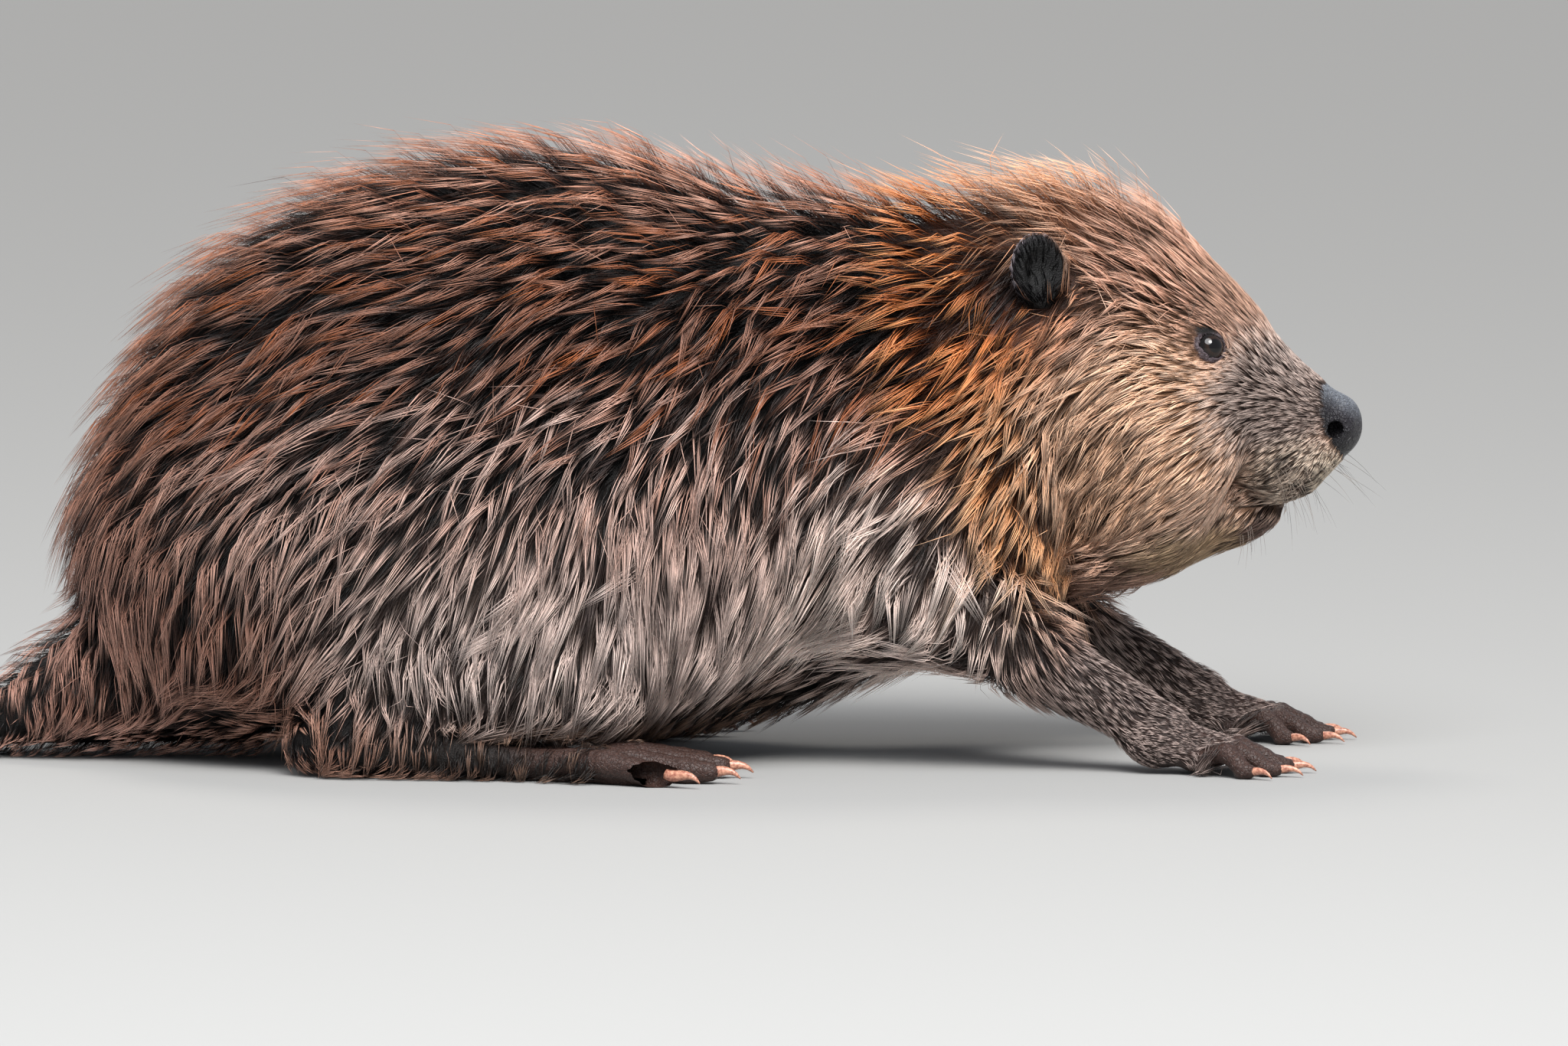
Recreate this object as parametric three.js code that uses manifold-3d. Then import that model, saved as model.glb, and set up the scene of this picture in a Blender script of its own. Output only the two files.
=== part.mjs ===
// A beaver at life size, as a still display model. It crouches on all fours with its head held level
// and its forepaws reaching forward, and its flat tail lies on the floor behind it.
//
// Millimetres, +X towards the nose, +Y to the animal's left, +Z up, floor at z = 0. The shapes reach to
// the tips of the coat. The trunk, head and limbs are soft forms melted into one skin, which thin
// cuts part into the animal's regions. Toes, claws, ears, eyes and the tail paddle are made one by one.

import * as THREE from 'three';
import { mergeVertices } from 'three/addons/utils/BufferGeometryUtils.js';
import Module from 'manifold-3d';

const wasm = await Module();
wasm.setup();

// ---- Driving dimensions ----------------------------------------------------------------------

const cutGap = 0.3; // clear space between two neighbouring pieces
const coarse = 33; // facet size on the trunk
const fine = 16.5; // facet size on the head

// Soft forms of the body. `at` is the centre, `radii` the half sizes, `pitch` tips the nose end down
// in degrees, and `melt` is how far the form blends into those before it. A form off the middle line
// stands for a pair.
const forms = {
  barrel: { at: [-106, 0, 128], radii: [183, 106, 138], pitch: 0, melt: 0 },
  haunch: { at: [-132, 58, 84], radii: [130, 58, 88], pitch: -4, melt: 28 },
  rump: { at: [-228, 0, 84], radii: [82, 84, 88], pitch: 4, melt: 30 },
  chest: { at: [22, 0, 137], radii: [118, 84, 108], pitch: -10, melt: 30 },
  shoulder: { at: [58, 46, 104], radii: [62, 42, 64], pitch: 20, melt: 24 },
  nape: { at: [98, 0, 176], radii: [76, 68, 72], pitch: 0, melt: 24 },
  crown: { at: [128, 0, 190], radii: [56, 54, 58], pitch: 30, melt: 18 },
  brow: { at: [172, 0, 176], radii: [56, 40, 37], pitch: 46, melt: 16 },
  cheek: { at: [146, 28, 141], radii: [52, 37, 46], pitch: 10, melt: 16 },
  throat: { at: [136, 0, 108], radii: [52, 50, 38], pitch: 8, melt: 18 },
  muzzle: { at: [209, 0, 143], radii: [42, 26, 30], pitch: 30, melt: 14 },
  whiskerPad: { at: [213, 13, 128], radii: [21, 16, 18], pitch: 20, melt: 8 },
  chin: { at: [188, 0, 104], radii: [30, 20, 17], pitch: -16, melt: 9 },
};
const bellyClearance = 7; // lowest point of the belly above the floor

// The shank of a hind leg melts into the body. Its ends and their radii.
const shank = { knee: [-92, 84, 42], ankle: [-186, 86, 26], start: 34, end: 21, melt: 20 };

// Furred root of the tail, which plugs into the rump: points along its middle, each with half its
// width and half its height.
const tailRoot = {
  path: [[-262, 0, 40], [-286, 0, 36], [-314, 0, 26], [-345, 0, 13]],
  radii: [[42, 38], [41, 35], [33, 25], [24, 13]],
};

const forearms = {
  right: { elbow: [58, -58, 76], wrist: [160, -74, 19] },
  left: { elbow: [74, 58, 76], wrist: [180, 64, 19] },
};
const forearmRadius = { elbow: 27, wrist: 12 };

// Regions along the body: a flat cut at a point on the middle line, leaning in degrees.
const cuts = {
  tailBase: { at: [-338, 0, 20], lean: 0 },
  rump: { at: [-196, 0, 130], lean: 8 },
  loin: { at: [-62, 0, 130], lean: 4 },
  neck: { at: [62, 0, 150], lean: 8 },
  head: { at: [104, 0, 160], lean: 12 },
  shoulderFront: { at: [118, 0, 90], lean: 0 },
};

// Regions cut out of the body by an ellipsoid. `detail` is its facets round and from top to bottom.
const regions = {
  thigh: { at: [-126, 96, 70], radii: [112, 62, 88], pitch: -4, detail: [14, 8] },
  shoulder: { at: [58, 86, 92], radii: [54, 46, 62], pitch: 20, detail: [12, 8] },
  nosePad: { at: [241, 0, 143], radii: [14, 15, 18], pitch: 18, detail: [12, 8] },
  lowerJaw: { at: [226, 0, 101], radii: [62, 40, 19], pitch: -17, detail: [12, 8] },
};

// Eyes and ears sit on the side of the head: their place seen from the side, and how far the middle
// stands out from the head there.
const eye = { x: 182, z: 179.5, standOut: -3.6, radius: 6.2 };
const ear = {
  x: 109,
  z: 214,
  standOut: 2,
  halfWidth: 13.5,
  halfHeight: 17,
  thickness: 10,
  rim: 3,
  depth: 6.5,
  turn: 24,
  tip: -12,
};

// The scaly tail: where it starts and ends, its half widths and its heights.
const tail = {
  front: -338.3,
  back: -592,
  rootWidth: 25,
  halfWidth: 58,
  rootHeight: 28,
  height: 22,
  rimHeight: 6,
  sink: 5, // how far the floor flattens its underside
};

// Digits fan out from a paw. Angles are in degrees away from straight ahead, outward positive, and
// `knuckles` are the places of their roots across the paw.
const digits = {
  forepaw: {
    angles: [-34, -15, 0, 15, 36],
    lengths: [22, 32, 35, 31, 23],
    knuckles: [-11, -7, 0, 7, 11],
    arch: 6,
    radius: 4.3,
    claw: 11.5,
    clawRadius: 1.9,
  },
  hindFoot: {
    angles: [-20, -10, 0, 10, 21],
    lengths: [54, 66, 74, 72, 60],
    knuckles: [-19, -10, 0, 10, 19],
    arch: 3,
    radius: 6.2,
    claw: 13,
    clawRadius: 2.5,
  },
};
const digitSink = 0.9; // how far the floor flattens a toe
const palms = {
  right: { heel: [158, -75, 14], knuckle: [181, -76, 6], turn: 2, width: 13.5 },
  left: { heel: [178, 64, 14], knuckle: [202, 61, 6], turn: -4, width: 13.5 },
};
const sole = { heel: [-196, 86, 14], knuckle: [-100, 91, 7.5], turn: 5, heelWidth: 17, width: 25 };
const web = { reach: 0.72, bottom: -1, top: 5 };

// ---- Colours ---------------------------------------------------------------------------------

const finish = (name, colour, roughness) =>
  new THREE.MeshStandardMaterial({ name, color: colour, roughness, metalness: 0 });
const coat = {
  back: finish('coat_back', '#6b4030', 0.75),
  side: finish('coat_side', '#7a5341', 0.75),
  face: finish('coat_face', '#9a7258', 0.75),
};
const bareSkin = finish('bare_skin', '#4a3c3c', 0.55);
const tailScale = finish('tail_scale', '#2f2c2c', 0.6);
const horn = finish('claw_horn', '#b5765c', 0.4);
const eyeGlass = finish('eye', '#0c0b0d', 0.08);
const earFur = finish('ear_fur', '#1e1b1e', 0.85);

// ---- Fields: how far a point lies outside a soft form -------------------------------------------

const radians = THREE.MathUtils.degToRad;

function ellipsoidField({ at, radii, pitch = 0 }) {
  const c = Math.cos(radians(pitch));
  const s = Math.sin(radians(pitch));
  const [a, b, h] = radii;
  return (x, y, z) => {
    const dx = x - at[0];
    const dz = z - at[2];
    const u = dx * c - dz * s;
    const v = y - at[1];
    const w = dx * s + dz * c;
    const k0 = Math.hypot(u / a, v / b, w / h);
    const k1 = Math.hypot(u / (a * a), v / (b * b), w / (h * h));
    return k1 < 1e-9 ? -Math.min(a, b, h) : (k0 * (k0 - 1)) / k1;
  };
}

function taperField(from, to, start, end) {
  const axis = to.map((value, i) => value - from[i]);
  const lengthSquared = axis.reduce((sum, value) => sum + value * value, 0);
  return (x, y, z) => {
    const dot = (x - from[0]) * axis[0] + (y - from[1]) * axis[1] + (z - from[2]) * axis[2];
    const t = THREE.MathUtils.clamp(dot / lengthSquared, 0, 1);
    const dx = x - from[0] - axis[0] * t;
    const dy = y - from[1] - axis[1] * t;
    const dz = z - from[2] - axis[2] * t;
    return Math.hypot(dx, dy, dz) - (start + (end - start) * t);
  };
}

function melt(a, b, width) {
  const h = width > 0 ? Math.max(width - Math.abs(a - b), 0) / width : 0;
  return Math.min(a, b) - (h * h * width) / 4;
}

const formFields = Object.values(forms).map((form) => [ellipsoidField(form), form.melt]);
const shankField = taperField(shank.knee, shank.ankle, shank.start, shank.end);

function bodyField(x, y, z) {
  const side = Math.abs(y);
  let d = Infinity;
  for (const [field, width] of formFields) {
    d = melt(field(x, side, z), d, width);
  }
  d = melt(shankField(x, side, z), d, shank.melt);
  // the belly flattens towards the floor
  return -melt(-d, z - bellyClearance, 10);
}

// How far out the side of the body lies at a place seen from the side.
function sideAt(x, z) {
  let inside = 0;
  let outside = 160;
  for (let round = 0; round < 20; round++) {
    const middle = (inside + outside) / 2;
    if (bodyField(x, middle, z) < 0) inside = middle;
    else outside = middle;
  }
  return inside;
}

// ---- Solids ----------------------------------------------------------------------------------

function solidOf(geometry) {
  const bare = geometry.clone();
  Object.keys(bare.attributes)
    .filter((name) => name !== 'position')
    .forEach((name) => bare.deleteAttribute(name));
  const merged = mergeVertices(bare, 1e-4);
  const solid = new wasm.Manifold(
    new wasm.Mesh({
      numProp: 3,
      vertProperties: new Float32Array(merged.attributes.position.array),
      triVerts: new Uint32Array(merged.index.array),
    })
  );
  return solid;
}

function geometryOf(solid) {
  const mesh = solid.getMesh();
  const geometry = new THREE.BufferGeometry();
  geometry.setAttribute('position', new THREE.BufferAttribute(new Float32Array(mesh.vertProperties), 3));
  geometry.setIndex(new THREE.BufferAttribute(new Uint32Array(mesh.triVerts), 1));
  geometry.computeVertexNormals();
  return geometry;
}

// Wraps the zero level of a field in quads, one vertex for each grid cell that the level crosses,
// then slides each vertex onto the level.
function wrap(field, low, high, cell) {
  const count = low.map((value, i) => Math.ceil((high[i] - value) / cell) + 1);
  const [nx, ny, nz] = count;
  const index = (i, j, k) => i + nx * (j + ny * k);
  const values = new Float64Array(nx * ny * nz);
  for (let k = 0; k < nz; k++) {
    for (let j = 0; j < ny; j++) {
      for (let i = 0; i < nx; i++) {
        values[index(i, j, k)] = field(low[0] + i * cell, low[1] + j * cell, low[2] + k * cell);
      }
    }
  }
  const corners = [0, 1, nx, nx + 1, nx * ny, nx * ny + 1, nx * ny + nx, nx * ny + nx + 1];
  const edges = [
    [0, 1], [2, 3], [4, 5], [6, 7], [0, 2], [1, 3], [4, 6], [5, 7], [0, 4], [1, 5], [2, 6], [3, 7],
  ];
  const vertexOf = new Int32Array(values.length).fill(-1);
  const positions = [];
  for (let k = 0; k < nz - 1; k++) {
    for (let j = 0; j < ny - 1; j++) {
      for (let i = 0; i < nx - 1; i++) {
        const base = index(i, j, k);
        const sum = [0, 0, 0];
        let crossings = 0;
        for (const [a, b] of edges) {
          const va = values[base + corners[a]];
          const vb = values[base + corners[b]];
          if (va < 0 === vb < 0) continue;
          const t = va / (va - vb);
          for (let axis = 0; axis < 3; axis++) {
            const pa = (a >> axis) & 1;
            const pb = (b >> axis) & 1;
            sum[axis] += pa + (pb - pa) * t;
          }
          crossings++;
        }
        if (!crossings) continue;
        vertexOf[base] = positions.length / 3;
        const point = [i, j, k].map((step, axis) => low[axis] + (step + sum[axis] / crossings) * cell);
        positions.push(...settle(field, point, cell * 0.4));
      }
    }
  }
  const triangles = [];
  const strides = [1, nx, nx * ny];
  for (let k = 1; k < nz - 1; k++) {
    for (let j = 1; j < ny - 1; j++) {
      for (let i = 1; i < nx - 1; i++) {
        const base = index(i, j, k);
        for (let axis = 0; axis < 3; axis++) {
          const here = values[base] < 0;
          const there = values[base + strides[axis]] < 0;
          if (here === there) continue;
          const u = strides[(axis + 1) % 3];
          const v = strides[(axis + 2) % 3];
          const quad = [base - u - v, base - v, base, base - u].map((cellIndex) => vertexOf[cellIndex]);
          if (!here) quad.reverse();
          triangles.push(...splitQuad(quad, positions));
        }
      }
    }
  }
  const geometry = new THREE.BufferGeometry();
  geometry.setAttribute('position', new THREE.Float32BufferAttribute(positions, 3));
  geometry.setIndex(triangles);
  return solidOf(geometry);
}

// Moves a point onto the zero level of a field, no further than `reach`.
function settle(field, start, reach) {
  const point = [...start];
  const step = 0.5;
  for (let round = 0; round < 3; round++) {
    const d = field(...point);
    const slope = [0, 1, 2].map((axis) => {
      const ahead = [...point];
      ahead[axis] += step;
      return (field(...ahead) - d) / step;
    });
    const steepness = Math.max(slope[0] ** 2 + slope[1] ** 2 + slope[2] ** 2, 0.05);
    for (let axis = 0; axis < 3; axis++) {
      const moved = point[axis] - (d * slope[axis]) / steepness;
      point[axis] = THREE.MathUtils.clamp(moved, start[axis] - reach, start[axis] + reach);
    }
  }
  return point;
}

// Two triangles for a quad, along its shorter diagonal.
function splitQuad([a, b, c, d], positions) {
  const span = (p, q) =>
    Math.hypot(...[0, 1, 2].map((axis) => positions[3 * p + axis] - positions[3 * q + axis]));
  return span(a, c) < span(b, d) ? [a, b, c, a, c, d] : [a, b, d, b, c, d];
}

// A closed tube along a path. Each radius is a number, or [across, upright].
function limb(path, radii, sides) {
  const points = path.map((p) => new THREE.Vector3(...p));
  const rings = points.map((point, i) => {
    const ahead = points[Math.min(i + 1, points.length - 1)];
    const behind = points[Math.max(i - 1, 0)];
    const along = ahead.clone().sub(behind).normalize();
    const upright = new THREE.Vector3(0, 0, 1);
    const across = new THREE.Vector3().crossVectors(upright, along).normalize();
    const normal = new THREE.Vector3().crossVectors(along, across);
    const [wide, tall] = [radii[i]].flat().length === 2 ? radii[i] : [radii[i], radii[i]];
    return Array.from({ length: sides }, (_, step) => {
      const angle = (2 * Math.PI * step) / sides;
      return point
        .clone()
        .addScaledVector(across, Math.cos(angle) * wide)
        .addScaledVector(normal, Math.sin(angle) * tall);
    });
  });
  return closedRings(rings, points[0], points[points.length - 1]);
}

// Joins rings of points into a closed solid, with a point at each end.
function closedRings(rings, first, last) {
  const sides = rings[0].length;
  const positions = rings.flat().flatMap((p) => [p.x, p.y, p.z]);
  positions.push(first.x, first.y, first.z, last.x, last.y, last.z);
  const firstIndex = rings.length * sides;
  const lastIndex = firstIndex + 1;
  const triangles = [];
  for (let r = 0; r < rings.length - 1; r++) {
    for (let step = 0; step < sides; step++) {
      const next = (step + 1) % sides;
      const a = r * sides + step;
      const b = r * sides + next;
      triangles.push(a, b, b + sides, a, b + sides, a + sides);
    }
  }
  for (let step = 0; step < sides; step++) {
    const next = (step + 1) % sides;
    triangles.push(firstIndex, next, step);
    triangles.push(lastIndex, lastIndex - 1 - sides + step, lastIndex - 1 - sides + next);
  }
  const geometry = new THREE.BufferGeometry();
  geometry.setAttribute('position', new THREE.Float32BufferAttribute(positions, 3));
  geometry.setIndex(triangles);
  return solidOf(geometry);
}

// An ellipsoid, on the animal's left (+1) or right (-1) side.
function ball({ at, radii, pitch = 0, detail }, side = 1, grow = 0) {
  const geometry = new THREE.SphereGeometry(1, ...detail);
  geometry.scale(...radii.map((radius) => radius + grow));
  geometry.rotateY(radians(pitch));
  geometry.translate(at[0], at[1] * side, at[2]);
  return solidOf(geometry);
}

// A half space as a huge box whose flat end lies on a cut, on its front (+1) or back (-1) side.
function beyond({ at, lean }, side) {
  const reach = 1200;
  const geometry = new THREE.BoxGeometry(reach, reach, reach);
  geometry.translate((side * (reach - cutGap)) / 2, 0, 0);
  geometry.rotateY(radians(-lean));
  geometry.translate(...at);
  return solidOf(geometry);
}

function floorBlock() {
  const reach = 1400;
  const depth = 200;
  const geometry = new THREE.BoxGeometry(reach, reach, depth);
  geometry.translate(0, 0, -depth / 2);
  return solidOf(geometry);
}

const floor = floorBlock();
const sides = [-1, 1];
const subtractAll = (solid, ...others) => others.reduce((rest, other) => rest.subtract(other), solid);

// Cuts can leave a crumb beside the piece, so each piece is the largest body of its solid.
const pieces = [];
function keep(name, solid, material) {
  const bodies = solid.decompose().sort((a, b) => b.volume() - a.volume());
  pieces.push({ name, solid: bodies[0], material });
}

// ---- Feet and forearms -------------------------------------------------------------------------

// A forearm from a rounded elbow to the wrist.
function forearmShape({ elbow, wrist }, grow = 0) {
  const { lerp } = THREE.MathUtils;
  const shares = [-0.14 - grow / 100, 0, 0.35, 0.7, 1];
  const path = shares.map((t) => elbow.map((value, i) => lerp(value, wrist[i], t)));
  const radii = shares.map((t) => {
    const radius = lerp(forearmRadius.elbow, forearmRadius.wrist, Math.max(t, 0) ** 0.8);
    return (t < 0 ? radius * 0.6 : radius) + grow;
  });
  return limb(path, radii, 10);
}

// A forepaw's palm from the wrist to the knuckles.
function palmShape({ heel, knuckle, width }) {
  const middle = heel.map((value, i) => (value + knuckle[i]) / 2);
  const path = [[heel[0] - 6, heel[1], heel[2] + 2], middle, knuckle, [knuckle[0] + 8, knuckle[1], 4]];
  return limb(path, [[12, 11.5], [width, 10], [width, 8.5], [width * 0.7, 5.5]], 8);
}

// A hind foot's sole on one side of the body.
function footPlace(side) {
  const place = (point) => [point[0], point[1] * side, point[2]];
  return { ...sole, heel: place(sole.heel), knuckle: place(sole.knuckle) };
}

function solePlate(side) {
  const { heel, knuckle } = footPlace(side);
  const instep = heel.map((value, i) => (value + knuckle[i]) / 2);
  const ball = [knuckle[0] + 18, knuckle[1], 5.5];
  const path = [heel, [heel[0] + 14, heel[1], heel[2]], instep, knuckle, ball];
  const { heelWidth, width } = sole;
  return limb(path, [[9, 9], [heelWidth, 15], [heelWidth + 3, 12], [width, 8.5], [width * 0.8, 5.5]], 8);
}

// Where a digit of a paw runs: its middle line and the direction that it points in.
function digitPath(kind, place, side, i) {
  const turn = radians(place.turn);
  const across = [-Math.sin(turn), Math.cos(turn) * side, 0];
  const heading = turn + radians(kind.angles[i]);
  const ahead = [Math.cos(heading), Math.sin(heading) * side];
  const start = place.knuckle.map((value, axis) => value + across[axis] * kind.knuckles[i]);
  const rest = kind.radius - digitSink;
  const path = [-0.2, 0.4, 0.85, 1].map((t) => {
    const rise = THREE.MathUtils.clamp(t / 0.85, 0, 1);
    const height = THREE.MathUtils.lerp(start[2], rest, rise) + kind.arch * Math.sin(Math.PI * rise);
    const reach = kind.lengths[i] * t;
    return [start[0] + ahead[0] * reach, start[1] + ahead[1] * reach, height];
  });
  return { path, ahead };
}

function digitShape(kind, place, side, i) {
  const { path } = digitPath(kind, place, side, i);
  return limb(path, [1, 1.05, 1, 0.65].map((share) => share * kind.radius), 6);
}

// A curved claw that starts just ahead of its digit.
function clawShape(kind, place, side, i) {
  const { path, ahead } = digitPath(kind, place, side, i);
  const tip = path[path.length - 1];
  const clawPath = [0, 0.4, 1].map((t) => [
    tip[0] + ahead[0] * (kind.claw * t + cutGap),
    tip[1] + ahead[1] * (kind.claw * t + cutGap),
    tip[2] + kind.claw * t * t * (0.55 - 0.75 * t),
  ]);
  return limb(clawPath, [1, 0.85, 0.2].map((share) => share * kind.clawRadius), 5);
}

// The web of a hind foot, between its toes.
function webPlate(kind, place, side) {
  const outline = kind.angles.map((_, i) => {
    const { path } = digitPath(kind, place, side, i);
    const [first, last] = [path[0], path[path.length - 1]];
    return [0, 1].map((axis) => THREE.MathUtils.lerp(first[axis], last[axis], web.reach));
  });
  const [x, y] = place.knuckle;
  const points = [[x - 10, y - 14 * side], ...outline, [x - 10, y + 14 * side]];
  const shape = new THREE.Shape(points.map((point) => new THREE.Vector2(...point)));
  const geometry = new THREE.ExtrudeGeometry(shape, { depth: web.top - web.bottom, bevelEnabled: false });
  geometry.translate(0, 0, web.bottom);
  return solidOf(geometry);
}

function footShape(side) {
  const place = footPlace(side);
  const kind = digits.hindFoot;
  const base = solePlate(side).add(webPlate(kind, place, side));
  return kind.angles.reduce((sum, _, i) => sum.add(digitShape(kind, place, side, i)), base);
}

// The room that a hind foot takes under the body, as one plain form round the sole and toes.
function footRoom(side) {
  const { heel, knuckle } = footPlace(side);
  const path = [
    [heel[0] - 3, heel[1], 12],
    [heel[0] + 8, heel[1], 14],
    [(heel[0] + knuckle[0]) / 2, heel[1] + 2 * side, 12],
    [knuckle[0], knuckle[1], 8],
    [knuckle[0] + 60, knuckle[1] + 4 * side, 6],
    [knuckle[0] + 84, knuckle[1] + 6 * side, 4],
  ];
  return limb(path, [[13, 12], [21, 18], [28, 18], [40, 18], [48, 14], [34, 8]], 8);
}

function forepawShape(kind, palm) {
  const fingers = kind.angles.map((_, i) => digitShape(kind, palm, Math.sign(palm.heel[1]), i));
  return fingers.reduce((sum, finger) => sum.add(finger), palmShape(palm));
}

// ---- Trunk and neck --------------------------------------------------------------------------------

const trunk = wrap(
  (x, y, z) => Math.max(bodyField(x, y, z), x - 160),
  [-420, -156, -26],
  [210, 156, 292],
  coarse
).subtract(floor);

function tailRootShape(grow = 0) {
  const path = tailRoot.path.map(([x, y, z], i) => [i === 0 ? x + grow : x, y, z]);
  return limb(path, tailRoot.radii.map((pair) => pair.map((radius) => radius + grow)), 12);
}

const thighs = sides.map((side) => ball(regions.thigh, side, cutGap));
const shoulders = sides.map((side) => ball(regions.shoulder, side, cutGap));
const forearmRooms = Object.values(forearms).map((forearm) => forearmShape(forearm, cutGap));
const feet = sides.map((side) => footRoom(side));

keep('tail_root', subtractAll(tailRootShape(), beyond(cuts.tailBase, -1), floor), coat.back);
keep(
  'rump',
  subtractAll(trunk, beyond(cuts.rump, 1), tailRootShape(cutGap), ...thighs, ...feet),
  coat.back
);
keep(
  'loin',
  subtractAll(trunk, beyond(cuts.rump, -1), beyond(cuts.loin, 1), ...thighs, ...feet),
  coat.back
);
const chestBlock = subtractAll(trunk, beyond(cuts.loin, -1), beyond(cuts.neck, 1));
keep('chest', subtractAll(chestBlock, ...thighs, ...shoulders, ...forearmRooms, ...feet), coat.side);
const neckBlock = subtractAll(trunk, beyond(cuts.neck, -1), beyond(cuts.head, 1));
keep('neck', subtractAll(neckBlock, ...shoulders, ...forearmRooms), coat.face);

// ---- Head --------------------------------------------------------------------------------------------

const headBlock = wrap(
  (x, y, z) => Math.max(bodyField(x, y, z), 76 - x),
  [50, -120, -6],
  [276, 122, 268],
  fine
);

// An ear is a round flap, hollow on the face that looks forward and outward.
function placeEar(geometry, side) {
  geometry.rotateY(radians(ear.tip));
  geometry.rotateZ(radians(-ear.turn * side));
  geometry.translate(ear.x, (sideAt(ear.x, ear.z) + ear.standOut) * side, ear.z);
  return solidOf(geometry);
}

function earFlap(side, grow = 0) {
  const flap = new THREE.SphereGeometry(1, 10, 6);
  flap.scale(ear.halfWidth + grow, ear.thickness / 2 + grow, ear.halfHeight + grow);
  return placeEar(flap, side);
}

function earHollow(side) {
  const bowl = new THREE.SphereGeometry(1, 8, 5);
  bowl.scale(ear.halfWidth - ear.rim, ear.depth, ear.halfHeight - ear.rim);
  bowl.translate(0, (side * ear.thickness) / 2, 0);
  return placeEar(bowl, side);
}

function eyeBall(side, grow = 0) {
  const at = [eye.x, sideAt(eye.x, eye.z) + eye.standOut, eye.z];
  return ball({ at, radii: [eye.radius, eye.radius, eye.radius], detail: [8, 6] }, side, grow);
}

const grownNose = ball(regions.nosePad, 1, cutGap);
const headCut = subtractAll(headBlock, beyond(cuts.head, -1), grownNose, ball(regions.lowerJaw, 1, cutGap));
const features = sides.flatMap((side) => [earFlap(side, cutGap), eyeBall(side, cutGap)]);
keep('head', subtractAll(headCut, ...features), coat.face);
keep('nose', headBlock.intersect(ball(regions.nosePad)), bareSkin);
keep('lower_jaw', headBlock.intersect(ball(regions.lowerJaw)).subtract(grownNose), coat.face);

// ---- The two sides -------------------------------------------------------------------------------

function keepClaws(name, kind, place, side) {
  kind.angles.forEach((_, i) => keep(`${name}_${i + 1}`, clawShape(kind, place, side, i), horn));
}

for (const [name, side] of [['right', -1], ['left', 1]]) {
  const shoulder = trunk.intersect(ball(regions.shoulder, side));
  const clearShoulder = subtractAll(shoulder, beyond(cuts.shoulderFront, 1), ...thighs, ...forearmRooms);
  keep(`shoulder_${name}`, clearShoulder, coat.side);
  keep(`thigh_${name}`, subtractAll(trunk.intersect(ball(regions.thigh, side)), ...feet), coat.side);

  const palm = palms[name];
  const wrist = { at: palm.heel, lean: 0 };
  keep(`forearm_${name}`, forearmShape(forearms[name]).subtract(beyond(wrist, 1)), coat.side);
  const forepaw = forepawShape(digits.forepaw, palm);
  keep(`forepaw_${name}`, subtractAll(forepaw, beyond(wrist, -1), floor), bareSkin);
  keepClaws(`foreclaw_${name}`, digits.forepaw, palm, side);

  keep(`hind_foot_${name}`, footShape(side).subtract(floor), bareSkin);
  keepClaws(`hind_claw_${name}`, digits.hindFoot, footPlace(side), side);

  keep(`ear_${name}`, earFlap(side).subtract(earHollow(side)), earFur);
  keep(`eye_${name}`, eyeBall(side), eyeGlass);
}

// ---- Tail ------------------------------------------------------------------------------------

// One cross section of the tail, a share `t` of the way back: a flat oval with a thin rim.
function tailRing(t, corners) {
  const { lerp, smoothstep } = THREE.MathUtils;
  const spread = smoothstep(t, 0, 0.42);
  const roundEnd = Math.sqrt(Math.max(1 - Math.max((t - 0.45) / 0.55, 0) ** 2.6, 0.01));
  const halfWidth = lerp(tail.rootWidth, tail.halfWidth, spread) * roundEnd;
  const flatten = Math.min(t * 2.2, 1);
  const halfHeight = lerp(tail.rootHeight, tail.height, flatten) / 2;
  const thickness = lerp(halfHeight, tail.rimHeight, t * t) * (1 - 0.3 * t);
  const middle = lerp(tail.rootHeight / 2 - 1, tail.height / 2 - tail.sink, flatten);
  const rim = Math.min(tail.rimHeight / 2, thickness);
  return Array.from({ length: corners }, (_, i) => {
    const angle = (2 * Math.PI * i) / corners;
    const rise = lerp(thickness, rim, Math.abs(Math.cos(angle)) ** 1.6);
    const x = lerp(tail.front, tail.back, t);
    return new THREE.Vector3(x, -halfWidth * Math.cos(angle), middle + rise * Math.sin(angle));
  });
}

function tailPaddle() {
  const steps = 11;
  const corners = 12;
  const rings = Array.from({ length: steps + 1 }, (_, step) => {
    const s = step / steps;
    return tailRing(1.5 * s - 0.5 * s ** 3, corners);
  });
  const middleOf = (ring) => ring.reduce((sum, p) => sum.add(p), new THREE.Vector3()).divideScalar(corners);
  return closedRings(rings, middleOf(rings[0]), middleOf(rings[steps]));
}
keep('tail', tailPaddle().subtract(floor), tailScale);

// ---- The model, with its origin at the bottom centre of its box -----------------------------------

const model = new THREE.Group();
model.name = 'beaver';
for (const { name, solid, material } of pieces) {
  const mesh = new THREE.Mesh(geometryOf(solid), material);
  mesh.name = name;
  model.add(mesh);
}
const bounds = new THREE.Box3().setFromObject(model);
const centre = bounds.getCenter(new THREE.Vector3());
model.position.set(-centre.x, -centre.y, -bounds.min.z);

export default model;
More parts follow.
